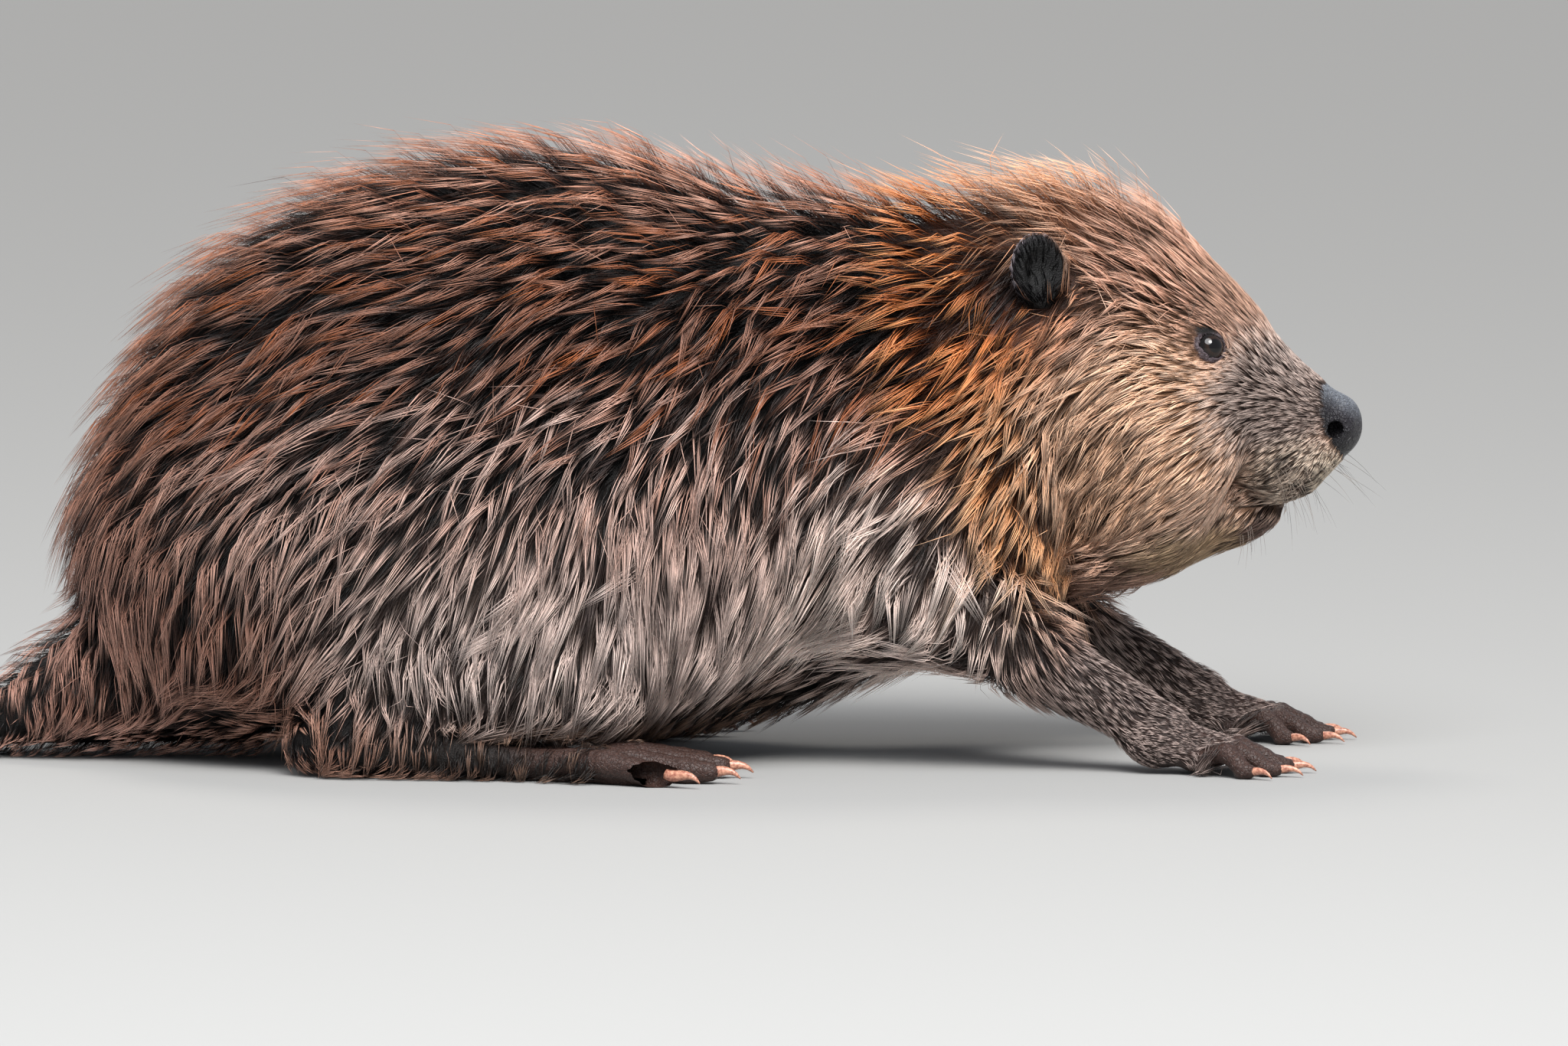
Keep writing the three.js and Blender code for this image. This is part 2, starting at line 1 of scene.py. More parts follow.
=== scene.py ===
import math
import bmesh
import bpy
import numpy as np
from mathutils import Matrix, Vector


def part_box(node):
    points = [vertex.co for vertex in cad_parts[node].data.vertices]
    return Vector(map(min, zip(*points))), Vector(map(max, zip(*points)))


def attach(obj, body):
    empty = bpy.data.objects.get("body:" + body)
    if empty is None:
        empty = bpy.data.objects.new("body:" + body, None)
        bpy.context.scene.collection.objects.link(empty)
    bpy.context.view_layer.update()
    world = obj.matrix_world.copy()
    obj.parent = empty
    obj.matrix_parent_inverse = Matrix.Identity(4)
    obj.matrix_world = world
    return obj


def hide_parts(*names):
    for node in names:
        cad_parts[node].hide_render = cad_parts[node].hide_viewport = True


# A wet beaver at life size, crouched on all fours, as a still display model. Shapes are worked out in
# millimetres on the animal's own axes, x towards the nose, y to its left, z up from the floor, and
# place moves them into the frame. Shapes that come in pairs are worked out on the left side.

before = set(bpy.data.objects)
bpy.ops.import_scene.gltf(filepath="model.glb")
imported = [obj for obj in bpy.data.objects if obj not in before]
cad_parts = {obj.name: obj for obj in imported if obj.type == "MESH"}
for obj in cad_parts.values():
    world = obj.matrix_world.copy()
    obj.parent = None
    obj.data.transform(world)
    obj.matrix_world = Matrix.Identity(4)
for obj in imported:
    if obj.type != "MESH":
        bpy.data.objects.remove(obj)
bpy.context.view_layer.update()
rng = np.random.default_rng(11)
mm = 0.001

tail = {
    "front": -338.3, "back": -592.0,
    "rootWidth": 25.0, "halfWidth": 58.0,
    "rootHeight": 28.0, "height": 22.0, "rimHeight": 6.0,
    "sink": 5.0,  # how far the floor flattens its underside
}
eyeBoxes = [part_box("eye_right"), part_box("eye_left")]
eyesMiddle = [sum(corner[axis] for box in eyeBoxes for corner in box) / 4 / mm for axis in range(3)]
zeroInFrame = np.array([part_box("tail")[0][0] / mm - tail["back"], eyesMiddle[1], 0.0])


def place(points):  # from the animal's millimetres to the frame's metres
    return (np.asarray(points, float) + zeroInFrame) * mm


# The camera looks at the right side, a little from above

view = {"width": 676.0, "distance": 9000.0, "elevation": 5.5, "aim": (0.0, 0.0, 100.2), "sensor": 36.0}


def addCamera():
    data = bpy.data.cameras.new("camera")
    data.sensor_width = view["sensor"]
    data.lens = view["distance"] * view["sensor"] / view["width"]
    data.clip_end = 100
    camera = bpy.data.objects.new("camera", data)
    tilt = math.radians(view["elevation"])
    back = np.array([0, -math.cos(tilt), math.sin(tilt)]) * view["distance"]
    camera.location = place(np.array(view["aim"]) + back)
    camera.rotation_euler = (math.pi / 2 - tilt, 0, 0)
    bpy.context.collection.objects.link(camera)
    bpy.context.scene.camera = camera


addCamera()
print("camera set")

# Shader maths: an expression on sockets adds the nodes that work it out


class Wire:
    def __init__(self, tree, socket):
        self.tree, self.socket = tree, socket

    def node(self, kind, settings=None, inputs=None, output=0):
        made = self.tree.nodes.new("ShaderNode" + kind)
        for name, value in (settings or {}).items():
            setattr(made, name, value)
        for key, value in (inputs or {}).items():
            if isinstance(value, Wire):
                self.tree.links.new(value.socket, made.inputs[key])
            else:
                made.inputs[key].default_value = value
        return Wire(self.tree, made.outputs[output])

    def maths(self, operation, *values):
        return self.node("Math", {"operation": operation}, dict(enumerate(values)))

    def __add__(self, other):
        return self.maths("ADD", self, other)

    def __radd__(self, other):
        return self.maths("ADD", other, self)

    def __sub__(self, other):
        return self.maths("SUBTRACT", self, other)

    def __rsub__(self, other):
        return self.maths("SUBTRACT", other, self)

    def __mul__(self, other):
        return self.maths("MULTIPLY", self, other)

    def __rmul__(self, other):
        return self.maths("MULTIPLY", other, self)

    def between(self, low, high):  # 0 below low, 1 above high, smooth between
        return self.node("MapRange", {"interpolation_type": "SMOOTHSTEP"}, {"Value": self, 1: low, 2: high})

    def mix(self, first, second):  # a colour, this wire being the share of the second
        return self.node("Mix", {"data_type": "RGBA"}, {0: self, 6: asColour(first), 7: asColour(second)}, 2)

    def tint(self, other):  # this colour times another
        settings = {"data_type": "RGBA", "blend_type": "MULTIPLY"}
        return self.node("Mix", settings, {0: 1.0, 6: self, 7: asColour(other)}, 2)


def asColour(value):
    return value if isinstance(value, Wire) else (*value, 1)


def linear(code):  # a hex colour as the light it stands for
    parts = [int(code[i:i + 2], 16) / 255 for i in (1, 3, 5)]
    return tuple(c / 12.92 if c <= 0.04045 else ((c + 0.055) / 1.055) ** 2.4 for c in parts)


class Finish:
    def __init__(self, name, **shader):
        self.material = bpy.data.materials.new(name)
        self.material.use_nodes = True
        self.tree = self.material.node_tree
        self.shader = next(n for n in self.tree.nodes if n.type == "BSDF_PRINCIPLED")
        self.wire = Wire(self.tree, None)
        self.set(**shader)

    def set(self, **shader):
        for key, value in shader.items():
            socket = self.shader.inputs[key.replace("_", " ")]
            if isinstance(value, Wire):
                self.tree.links.new(value.socket, socket)
            else:
                socket.default_value = value

    def at(self):  # the object's own places
        return self.wire.node("TexCoord", output=3)

    def attribute(self, name, output=0):
        return self.wire.node("Attribute", {"attribute_name": name}, output=output)

    def noise(self, scale, detail):
        return self.wire.node("TexNoise", inputs={"Vector": self.at(), "Scale": scale, "Detail": detail})

    def cracks(self, scale, width):  # 0 in the fine lines between cells, 1 on the cells
        inputs = {"Vector": self.at(), "Scale": scale}
        return self.wire.node("TexVoronoi", {"feature": "DISTANCE_TO_EDGE"}, inputs).between(0.0, width)

    def bump(self, height, strength, distance):
        inputs = {"Height": height, "Strength": strength, "Distance": distance}
        self.set(Normal=self.wire.node("Bump", inputs=inputs))


# Fields: how far a point lies outside a soft form

forms = {
    "barrel": {"at": (-106, 0, 128), "radii": (183, 106, 138), "pitch": 0},
    "haunch": {"at": (-132, 58, 84), "radii": (130, 58, 88), "pitch": -4, "melt": 28},
    "rump": {"at": (-228, 0, 84), "radii": (82, 84, 88), "pitch": 4, "melt": 30},
    "chest": {"at": (22, 0, 137), "radii": (118, 84, 108), "pitch": -10, "melt": 30},
    "shoulder": {"at": (58, 46, 104), "radii": (62, 42, 64), "pitch": 20, "melt": 24},
    "nape": {"at": (98, 0, 176), "radii": (76, 68, 72), "pitch": 0, "melt": 24},
    "crown": {"at": (128, 0, 190), "radii": (56, 54, 58), "pitch": 30, "melt": 18},
    "brow": {"at": (172, 0, 176), "radii": (56, 40, 37), "pitch": 46, "melt": 16},
    "cheek": {"at": (146, 28, 141), "radii": (52, 37, 46), "pitch": 10, "melt": 16},
    "throat": {"at": (136, 0, 108), "radii": (52, 50, 38), "pitch": 8, "melt": 18},
    "muzzle": {"at": (209, 0, 143), "radii": (42, 26, 30), "pitch": 30, "melt": 14},
    "whiskerPad": {"at": (213, 13, 128), "radii": (21, 16, 18), "pitch": 20, "melt": 8},
    "chin": {"at": (188, 0, 104), "radii": (30, 20, 17), "pitch": -16, "melt": 9},
}
bellyClearance = 7.0
shank = {"knee": (-92, 84, 42), "ankle": (-186, 86, 26), "start": 34, "end": 21, "melt": 20}
noseTip = (248.0, 0.0, 142.0)


def ellipsoid(x, y, z, at, radii, pitch=0.0):  # its nose tipped down by the pitch
    c, s = math.cos(math.radians(pitch)), math.sin(math.radians(pitch))
    dx, dz = x - at[0], z - at[2]
    u, v, w = dx * c - dz * s, y - at[1], dx * s + dz * c
    a, b, h = radii
    k0 = np.sqrt((u / a) ** 2 + (v / b) ** 2 + (w / h) ** 2)
    k1 = np.sqrt((u / a ** 2) ** 2 + (v / b ** 2) ** 2 + (w / h ** 2) ** 2)
    return k0 * (k0 - 1) / np.maximum(k1, 1e-6)


def capsule(x, y, z, start, end, startRadius, endRadius, power=1.0):
    axis = [e - s for s, e in zip(start, end)]
    length = sum(a * a for a in axis)
    t = ((x - start[0]) * axis[0] + (y - start[1]) * axis[1] + (z - start[2]) * axis[2]) / length
    t = np.clip(t, 0, 1)
    gaps = [p - s - a * t for p, s, a in zip((x, y, z), start, axis)]
    away = np.sqrt(gaps[0] ** 2 + gaps[1] ** 2 + gaps[2] ** 2)
    return away - startRadius - (endRadius - startRadius) * t ** power


def melt(a, b, width):  # the nearer of two forms, with a soft crease of this width between them
    h = np.maximum(width - np.abs(a - b), 0) / width
    return np.minimum(a, b) - h * h * width / 4


def carve(d, hole, width):  # the form without the hole
    return -melt(-d, hole, width)


def smooth(value, low, high):  # 0 below low, 1 above high, smooth between
    t = np.clip((value - low) / (high - low), 0, 1)
    return t * t * (3 - 2 * t)


def distanceTo(points, at):
    return np.linalg.norm(points - np.array(at, float), axis=1)


def unit(vector):
    vector = np.array(vector, float)
    return vector / np.linalg.norm(vector)


def coatField(x, y, z):  # the outside of the coat
    side = np.abs(y)
    d = None
    for form in forms.values():
        part = ellipsoid(x, side, z, form["at"], form["radii"], form["pitch"])
        d = part if d is None else melt(part, d, form["melt"])
    leg = capsule(x, side, z, shank["knee"], shank["ankle"], shank["start"], shank["end"])
    d = melt(leg, d, shank["melt"])
    return carve(d, z - bellyClearance, 10)


def sideAt(x, z):  # how far out the side of the body lies at a place seen from the side, by halving
    inside, outside, halvings = 0.0, 160.0, 24
    for _ in range(halvings):
        middle = (inside + outside) / 2
        if coatField(np.array([x]), np.array([middle]), np.array([z]))[0] < 0:
            inside = middle
        else:
            outside = middle
    return inside


eye = {  # the ball stands out of the body's side by so much; half length and half height of the opening
    "x": 182.0, "z": 179.5, "standOut": -3.6, "radius": 6.6,
    "lid": 7.3, "opening": (6.6, 4.7), "slant": -24.0,
}
eye["at"] = (eye["x"], sideAt(eye["x"], eye["z"]) + eye["standOut"], eye["z"])
ear = {
    "at": (109.0, sideAt(109.0, 214.0) + 2.0, 214.0),
    "flap": (12.4, 4.4, 15.9), "bowl": (9.2, 4.8, 12.4), "bowlOut": 4.9,
    "turn": 24.0, "tip": -12.0,
    "hair": (5.5, 1.45, 0.11, 4),  # length, spacing of the locks, half width of a strand, strands in a lock
}
depths = {  # coat depth by distance from the tip of the nose
    "distance": (0, 12, 40, 90, 150, 195), "depth": (0, 0, 2.2, 5, 12, 15),
    "height": (0, 20, 60, 120), "share": (0.5, 0.62, 0.85, 1),
}


def coatDepth(x, y, z):  # how far the skin lies inside the coat
    away = np.sqrt((x - noseTip[0]) ** 2 + y ** 2 + (z - noseTip[2]) ** 2)
    depth = np.interp(away, depths["distance"], depths["depth"])
    low = np.interp(z, depths["height"], depths["share"])
    depth = depth * np.where(away > 150, low, 1 + (low - 1) * smooth(away, 90, 150))
    side = np.abs(y)
    toEye = np.sqrt((x - eye["at"][0]) ** 2 + (side - eye["at"][1]) ** 2 + (z - eye["at"][2]) ** 2)
    toEar = np.sqrt((x - ear["at"][0]) ** 2 + (side - ear["at"][1]) ** 2 + (z - ear["at"][2] + 8) ** 2)
    depth = depth * (0.25 + 0.75 * smooth(toEye, 8, 24))
    return depth * (0.55 + 0.45 * smooth(toEar, 14, 34))


# Limbs: forearms, paws, hind feet and the root of the tail, as fields of their own

forearms = {
    "right": {"elbow": (58, -58, 76), "wrist": (160, -74, 19)},
    "left": {"elbow": (74, 58, 76), "wrist": (180, 64, 19)},
}
forearmRadius = {"elbow": 21.0, "wrist": 10.4}
palms = {
    "right": {"heel": (158, -75, 14), "knuckle": (181, -76, 6), "turn": 2},
    "left": {"heel": (178, 64, 14), "knuckle": (202, 61, 6), "turn": -4},
}
soles = {
    "right": {"heel": (-196, -86, 14), "knuckle": (-100, -91, 7.5), "turn": 5},
    "left": {"heel": (-196, 86, 14), "knuckle": (-100, 91, 7.5), "turn": 5},
}
sides = {"right": -1, "left": 1}
digits = {
    "forepaw": {
        "angles": (-34, -15, 0, 15, 36), "lengths": (22, 32, 35, 31, 23), "knuckles": (-11, -7, 0, 7, 11),
        "arch": 6.0, "radius": 4.3, "claw": 11.5, "clawRadius": 1.9,
    },
    "hindFoot": {
        "angles": (-20, -10, 0, 10, 21), "lengths": (54, 66, 74, 72, 60), "knuckles": (-19, -10, 0, 10, 19),
        "arch": 3.0, "radius": 6.2, "claw": 13.0, "clawRadius": 2.5,
    },
}
digitSink = 0.9  # how far the floor flattens the pads
cutGap = 0.3  # between a toe and its claw
tailRoot = {
    "x": (-345, -314, -286, -262), "z": (13, 26, 36, 40),
    "wide": (24, 33, 41, 42), "tall": (13, 25, 35, 38), "coat": 6.0,
}


def digitPath(kind, spot, side, i, shares=(-0.2, 0.4, 0.85, 1)):  # the middle line of a finger or toe
    turn = math.radians(spot["turn"])
    across = np.array([-math.sin(turn), math.cos(turn) * side, 0])
    heading = turn + math.radians(kind["angles"][i])
    ahead = np.array([math.cos(heading), math.sin(heading) * side])
    start = np.array(spot["knuckle"], float) + across * kind["knuckles"][i]
    rest = kind["radius"] - digitSink
    path = []
    for t in shares:
        rise = min(max(t / 0.85, 0), 1)
        height = start[2] + (rest - start[2]) * rise + kind["arch"] * math.sin(math.pi * rise)
        path.append([*(start[:2] + ahead * kind["lengths"][i] * t), height])
    return np.array(path), ahead


def boxAround(points, reach):
    points = np.asarray(points, float)
    return points.min(0) - reach, points.max(0) + reach


def forearmPatch(side):  # like each patch, the box that holds it and what it does to the field there
    arm = forearms[side]

    def reshape(x, y, z, d):
        ends = arm["elbow"], arm["wrist"]
        return melt(d, capsule(x, y, z, *ends, forearmRadius["elbow"], forearmRadius["wrist"], 0.8), 10)

    return (*boxAround([arm["elbow"], arm["wrist"]], 32), reshape)


def forepawPatch(side):
    kind, spot = digits["forepaw"], palms[side]
    paths = [digitPath(kind, spot, sides[side], i, (-0.2, 0.2, 0.45, 0.7, 0.85, 1))[0] for i in range(5)]
    radii = [share * kind["radius"] for share in (0.98, 0.9, 1.0, 0.88, 0.92, 0.7)]
    heel = np.array(spot["heel"], float)

    def reshape(x, y, z, d):
        paw = ellipsoid(x, y, z, heel + (4, 0, -2), (15, 11.5, 9.5))
        backOfHand = capsule(x, y, z, heel + (4, 0, 1), np.add(spot["knuckle"], (4, 0, 4)), 9.0, 7.0)
        paw = melt(paw, backOfHand, 3.0)
        for path in paths:
            root = heel + (2, (path[0][1] - heel[1]) * 0.5, 0)
            finger = capsule(x, y, z, root, path[0], 6.5, 4.6)
            for a, b, start, end in zip(path, path[1:], radii, radii[1:]):
                finger = melt(finger, capsule(x, y, z, a, b, start, end), 1.2)
            paw = melt(paw, finger, 2.0)
        return melt(d, paw, 9)

    return (*boxAround([heel, *np.concatenate(paths)], 22), reshape)


def hindFootPatch(side):
    kind, spot = digits["hindFoot"], soles[side]
    shares = (-0.2, 0.2, 0.5, 0.7, 0.85, 1)
    paths = [digitPath(kind, spot, sides[side], i, shares)[0] for i in range(5)]
    radii = [share * kind["radius"] for share in (1.0, 0.9, 0.98, 0.82, 0.92, 0.68)]
    heel = np.array(spot["heel"], float)

    def webBetween(x, y, z, left, right):  # a thin flap from toe to toe, hollowed at its front edge
        a, b = left[0][:2], right[0][:2]
        c, e = left[-1][:2] * 0.8 + a * 0.2, right[-1][:2] * 0.8 + b * 0.2
        corners = [a, c, e, b]
        turn = np.sign((c - a)[0] * (b - a)[1] - (c - a)[1] * (b - a)[0])
        flat = None
        for p, q in zip(corners, corners[1:] + corners[:1]):
            edge = (q - p) / np.hypot(*(q - p))
            out = ((x - p[0]) * edge[1] - (y - p[1]) * edge[0]) * turn
            flat = out if flat is None else np.maximum(flat, out)
        front = (c + e) / 2
        notch = 9.0 - np.sqrt((x - front[0] - 5) ** 2 + (y - front[1]) ** 2)
        return np.maximum(np.maximum(flat, notch), z - 2.6)

    def reshape(x, y, z, d):
        foot = ellipsoid(x, y, z, heel + (6, 0, 0), (20, 14, 12.5))
        for path in paths:
            root = heel + (10, (path[0][1] - heel[1]) * 0.35, 0)
            toe = capsule(x, y, z, root, path[0], 10.5, kind["radius"])
            for a, b, start, end in zip(path, path[1:], radii, radii[1:]):
                toe = melt(toe, capsule(x, y, z, a, b, start, end), 1.5)
            foot = melt(foot, toe, 3.0)
        for left, right in zip(paths, paths[1:]):
            foot = melt(foot, webBetween(x, y, z, left, right), 2.0)
        return melt(d, foot, 6)

    return (*boxAround([heel, *np.concatenate(paths)], 24), reshape)


def tailRootField(x, y, z):  # an oval that runs from the rump to the front of the paddle
    wide = np.interp(x, tailRoot["x"], tailRoot["wide"]) - tailRoot["coat"]
    tall = np.interp(x, tailRoot["x"], tailRoot["tall"]) - tailRoot["coat"] * 0.7
    rise = z - np.interp(x, tailRoot["x"], tailRoot["z"])
    oval = (np.sqrt((y / wide) ** 2 + (rise / tall) ** 2) - 1) * np.minimum(wide, tall)
    return np.maximum(np.maximum(oval, -343 - x), x + 225)


def tailRootPatch(x, y, z, d):
    return melt(d, tailRootField(x, y, z), 14)


# The head's own details: ears, lids, nose and mouth

nose = {
    "pad": ((238, 0, 143), (10.5, 12, 12.5), 20), "wing": ((239, 10.2, 144.5), (6.5, 4.6, 6.5), 10),
    "nostril": ((236.5, 14.0, 142.0), (4.1, 5.6, 3.6), -25), "slitEnd": (228.5, 14.8, 146.5), "slit": 1.3,
    "cleftTop": (249.5, 0, 139), "cleftFoot": (236, 0, 121), "cleft": 1.0,
    "bare": ((240.0, 0.0, 146.0), (14.0, 22.0, 17.0)),
    "chamfer": ((240.0, 0, 128.0), (0.728, 0, -0.686), 0.012),  # the lip falls back under the nose
}
mouth = {"x": (190, 204, 214, 224), "z": (110.2, 109.8, 109.5, 112.5), "half": 0.6, "depth": 4.0}


def turned(x, y, degrees):
    c, s = math.cos(math.radians(degrees)), math.sin(math.radians(degrees))
    return x * c - y * s, x * s + y * c


def earPatch(x, y, z, d):
    at = ear["at"]
    u, v = turned(x - at[0], np.abs(y) - at[1], ear["turn"])
    w = z - at[2]
    w, u = turned(w, u, -ear["tip"])
    flap = ellipsoid(u, v, w, (0, 0, 0), ear["flap"])
    flap = carve(flap, ellipsoid(u, v, w, (0.3, ear["bowlOut"], -0.5), ear["bowl"]), 1.6)
    stalk = capsule(u, v, w, (0, -2.5, -7), (-2, -16, -12), 6.0, 11.0)
    return melt(d, melt(flap, stalk, 3.0), 5)


def eyeAxes():  # along the slit of the lids, across it, and out of the head
    at, step = np.array(eye["at"]), 0.5
    shifts = np.eye(3) * step
    outward = np.array([coatField(*(at + s)[:, None])[0] - coatField(*(at - s)[:, None])[0] for s in shifts])
    outward = unit(unit(outward) * (1, 1, 0.6))
    slant = math.radians(eye["slant"])
    along = np.array([math.cos(slant), 0, math.sin(slant)])
    along = unit(along - outward * along.dot(outward))
    return along, np.cross(along, outward), outward


eyeAlong, eyeUp, eyeOut = eyeAxes()


def eyePatch(x, y, z, d):
    gaps = x - eye["at"][0], np.abs(y) - eye["at"][1], z - eye["at"][2]
    u, v, w = (sum(g * a for g, a in zip(gaps, axis)) for axis in (eyeAlong, eyeUp, eyeOut))
    distance = np.sqrt(u * u + v * v + w * w)
    d = melt(d, distance - eye["lid"], 2.5)
    a, b = eye["opening"]
    almond = np.sqrt((u / a) ** 2 + (v / b) ** 2) + 0.12 * np.abs(u / a) ** 3 * (v * v < b * b)
    opening = np.maximum((almond - 1) * b, 1.0 - w)
    d = carve(d, opening, 0.9)
    ring = np.exp(-((distance - 9.2) / 0.9) ** 2) * smooth(w, 0, 3)  # crease round the lids
    return d + 0.35 * ring


def nosePatch(x, y, z, d):
    side = np.abs(y)
    foot, way, bend = nose["chamfer"]
    beyond = (x - foot[0]) * way[0] + (z - foot[2]) * way[2] + y * y * bend
    d = carve(d, -beyond, 5)
    d = melt(d, ellipsoid(x, side, z, *nose["pad"]), 5)
    d = melt(d, ellipsoid(x, side, z, *nose["wing"]), 3)
    hole = ellipsoid(x, side, z, *nose["nostril"])
    slit = capsule(x, side, z, nose["nostril"][0], nose["slitEnd"], 2.2, nose["slit"])
    d = carve(d, melt(hole, slit, 1.5), 1.4)
    cleft = capsule(x, side, z, nose["cleftTop"], nose["cleftFoot"], nose["cleft"], nose["cleft"])
    return carve(d, cleft, 1.6)


def padGap(x, y, z):  # about 1 at the edge of the bare nose, which is uneven
    at, reach = nose["bare"]
    gap = np.sqrt(sum(((value - a) / r) ** 2 for value, a, r in zip((x, y, z), at, reach)))
    return gap + 0.05 * np.sin(z * 1.3 + 1) * np.sin(x * 1.1 + np.abs(y) * 0.9)


def mouthLine(x, y):  # height of the slit between the lips
    return np.interp(x, mouth["x"], mouth["z"]) + 0.02 * y * y * smooth(x, 200, 224)


def mouthPatch(x, y, z, d):
    slit = np.maximum(np.abs(z - mouthLine(x, y)) - mouth["half"], -(d + mouth["depth"]))
    slit = np.maximum(slit, mouth["x"][0] - x)
    return carve(d, slit, 1.8)


def pairBox(low, high):  # a box on the left and its mirror image in one
    return np.array([low[0], -high[1], low[2]]), np.array(high)


patches = [  # lowest corner, highest corner and what reshapes the skin between them
    (np.array([-350, -50, -5]), np.array([-220, 50, 90]), tailRootPatch),
    *(forearmPatch(side) for side in sides), *(forepawPatch(side) for side in sides),
    *(hindFootPatch(side) for side in sides),
    (*pairBox((80, 20, 185), (140, 90, 240)), earPatch),
    (*pairBox((164, 14, 162), (200, 52, 197)), eyePatch),
    (*pairBox((218, 0, 112), (256, 24, 164)), nosePatch),
    (*pairBox((180, 0, 98), (234, 34, 122)), mouthPatch),
]


def skinField(points):
    points = np.asarray(points, np.float32)
    x, y, z = points.T
    d = coatField(x, y, z) + coatDepth(x, y, z)
    for low, high, reshape in patches:
        near = ((points > low) & (points < high)).all(1)
        if near.any():
            d[near] = reshape(x[near], y[near], z[near], d[near])
    return np.maximum(d, -z)


def slopeOf(points, step=0.25):  # the way out of the skin, and how fast the field grows that way
    shifts = np.eye(3, dtype=np.float32) * step
    slope = np.stack([skinField(points + s) - skinField(points - s) for s in shifts], 1) / (2 * step)
    steepness = np.linalg.norm(slope, axis=1, keepdims=True)
    return slope / np.maximum(steepness, 1e-4), np.maximum(steepness[:, 0], 0.3)


def settle(points, rounds=1, reach=2.0):  # onto the skin
    for _ in range(rounds):
        normals, steepness = slopeOf(points)
        away = np.clip(skinField(points) / steepness, -reach, reach)
        points = points - normals * away[:, None]
    return points, normals


# The skin: the zero level of the field, wrapped in quads on a grid that is finest at the head

grid = {
    "x": ((-352, -112, 5), (-112, -8, 3.2), (-8, 92, 5), (92, 160, 2.4), (160, 254, 1.7)),
    "y": ((0, 45, 1.8), (45, 72, 2.2), (72, 136, 3.0)),
    "z": ((-2, 22, 1.8), (22, 98, 4.4), (98, 190, 1.9), (190, 238, 2.3), (238, 272, 4)),
}


def gridLine(spans):  # from, to, step
    line = [np.linspace(a, b, max(round((b - a) / step), 1), endpoint=False) for a, b, step in spans]
    return np.concatenate([*line, [spans[-1][1]]])


def wrapSkin():  # one point in each cell that the skin crosses, one quad round each edge that it crosses
    half = gridLine(grid["y"]) + 0.01
    axes = [gridLine(grid["x"]), np.concatenate([-half[::-1], half]), gridLine(grid["z"])]
    counts = [len(axis) for axis in axes]
    values = np.empty(counts, np.float32)
    sheet = np.stack(np.meshgrid(axes[1], axes[2], indexing="ij"), -1).reshape(-1, 2)
    slab = 12
    for start in range(0, counts[0], slab):
        xs = axes[0][start:start + slab]
        points = np.concatenate([np.column_stack([np.full(len(sheet), x), sheet]) for x in xs])
        values[start:start + slab] = skinField(points).reshape(len(xs), counts[1], counts[2])
    inside = values < 0
    cells = [count - 1 for count in counts]
    sums, crossings = np.zeros((*cells, 3), np.float32), np.zeros(cells, np.int8)

    def cut(array, offset):
        return array[tuple(slice(o, o + c) for o, c in zip(offset, cells))]

    for axis in range(3):
        others = [a for a in range(3) if a != axis]
        for corner in range(4):
            start = [0, 0, 0]
            start[others[0]], start[others[1]] = corner & 1, corner >> 1
            end = list(start)
            end[axis] = 1
            a, b = cut(values, start), cut(values, end)
            crosses = cut(inside, start) != cut(inside, end)
            share = np.where(crosses, a / np.where(crosses, a - b, 1), 0)
            crossings += crosses
            for k in range(3):
                sums[..., k] += np.where(crosses, share if k == axis else start[k], 0)
    used = np.argwhere(crossings > 0)
    index = np.full(cells, -1, np.int32)
    index[tuple(used.T)] = np.arange(len(used))
    shares = sums[tuple(used.T)] / crossings[tuple(used.T)][:, None]
    lows = np.column_stack([axes[k][used[:, k]] for k in range(3)])
    highs = np.column_stack([axes[k][used[:, k] + 1] for k in range(3)])
    points = lows + (highs - lows) * shares
    faces = []
    for axis in range(3):
        u, v = [(axis + step) % 3 for step in (1, 2)]
        inner = [slice(1, count - 1) for count in counts]
        ahead = list(inner)
        ahead[axis] = slice(2, counts[axis])
        here, there = inside[tuple(inner)], inside[tuple(ahead)]
        for flip, found in ((False, here & ~there), (True, ~here & there)):
            at = np.argwhere(found) + 1
            ring = []
            for du, dv in ((1, 1), (0, 1), (0, 0), (1, 0)):
                cell = at.copy()
                cell[:, u] -= du
                cell[:, v] -= dv
                ring.append(index[tuple(cell.T)])
            quads = np.column_stack(ring)
            faces.append(quads[:, ::-1] if flip else quads)
    return settle(points, 2, 1.2)[0], np.concatenate(faces)


fineSpots = [  # places where the skin's quads are split again: middle, reach, rounds
    (eye["at"], 11.0, 2), ((238, 10, 142), 18.0, 1), (nose["nostril"][0], 7.0, 2), ((208, 12, 110), 17.0, 1),
    (ear["at"], 19.0, 1),
]


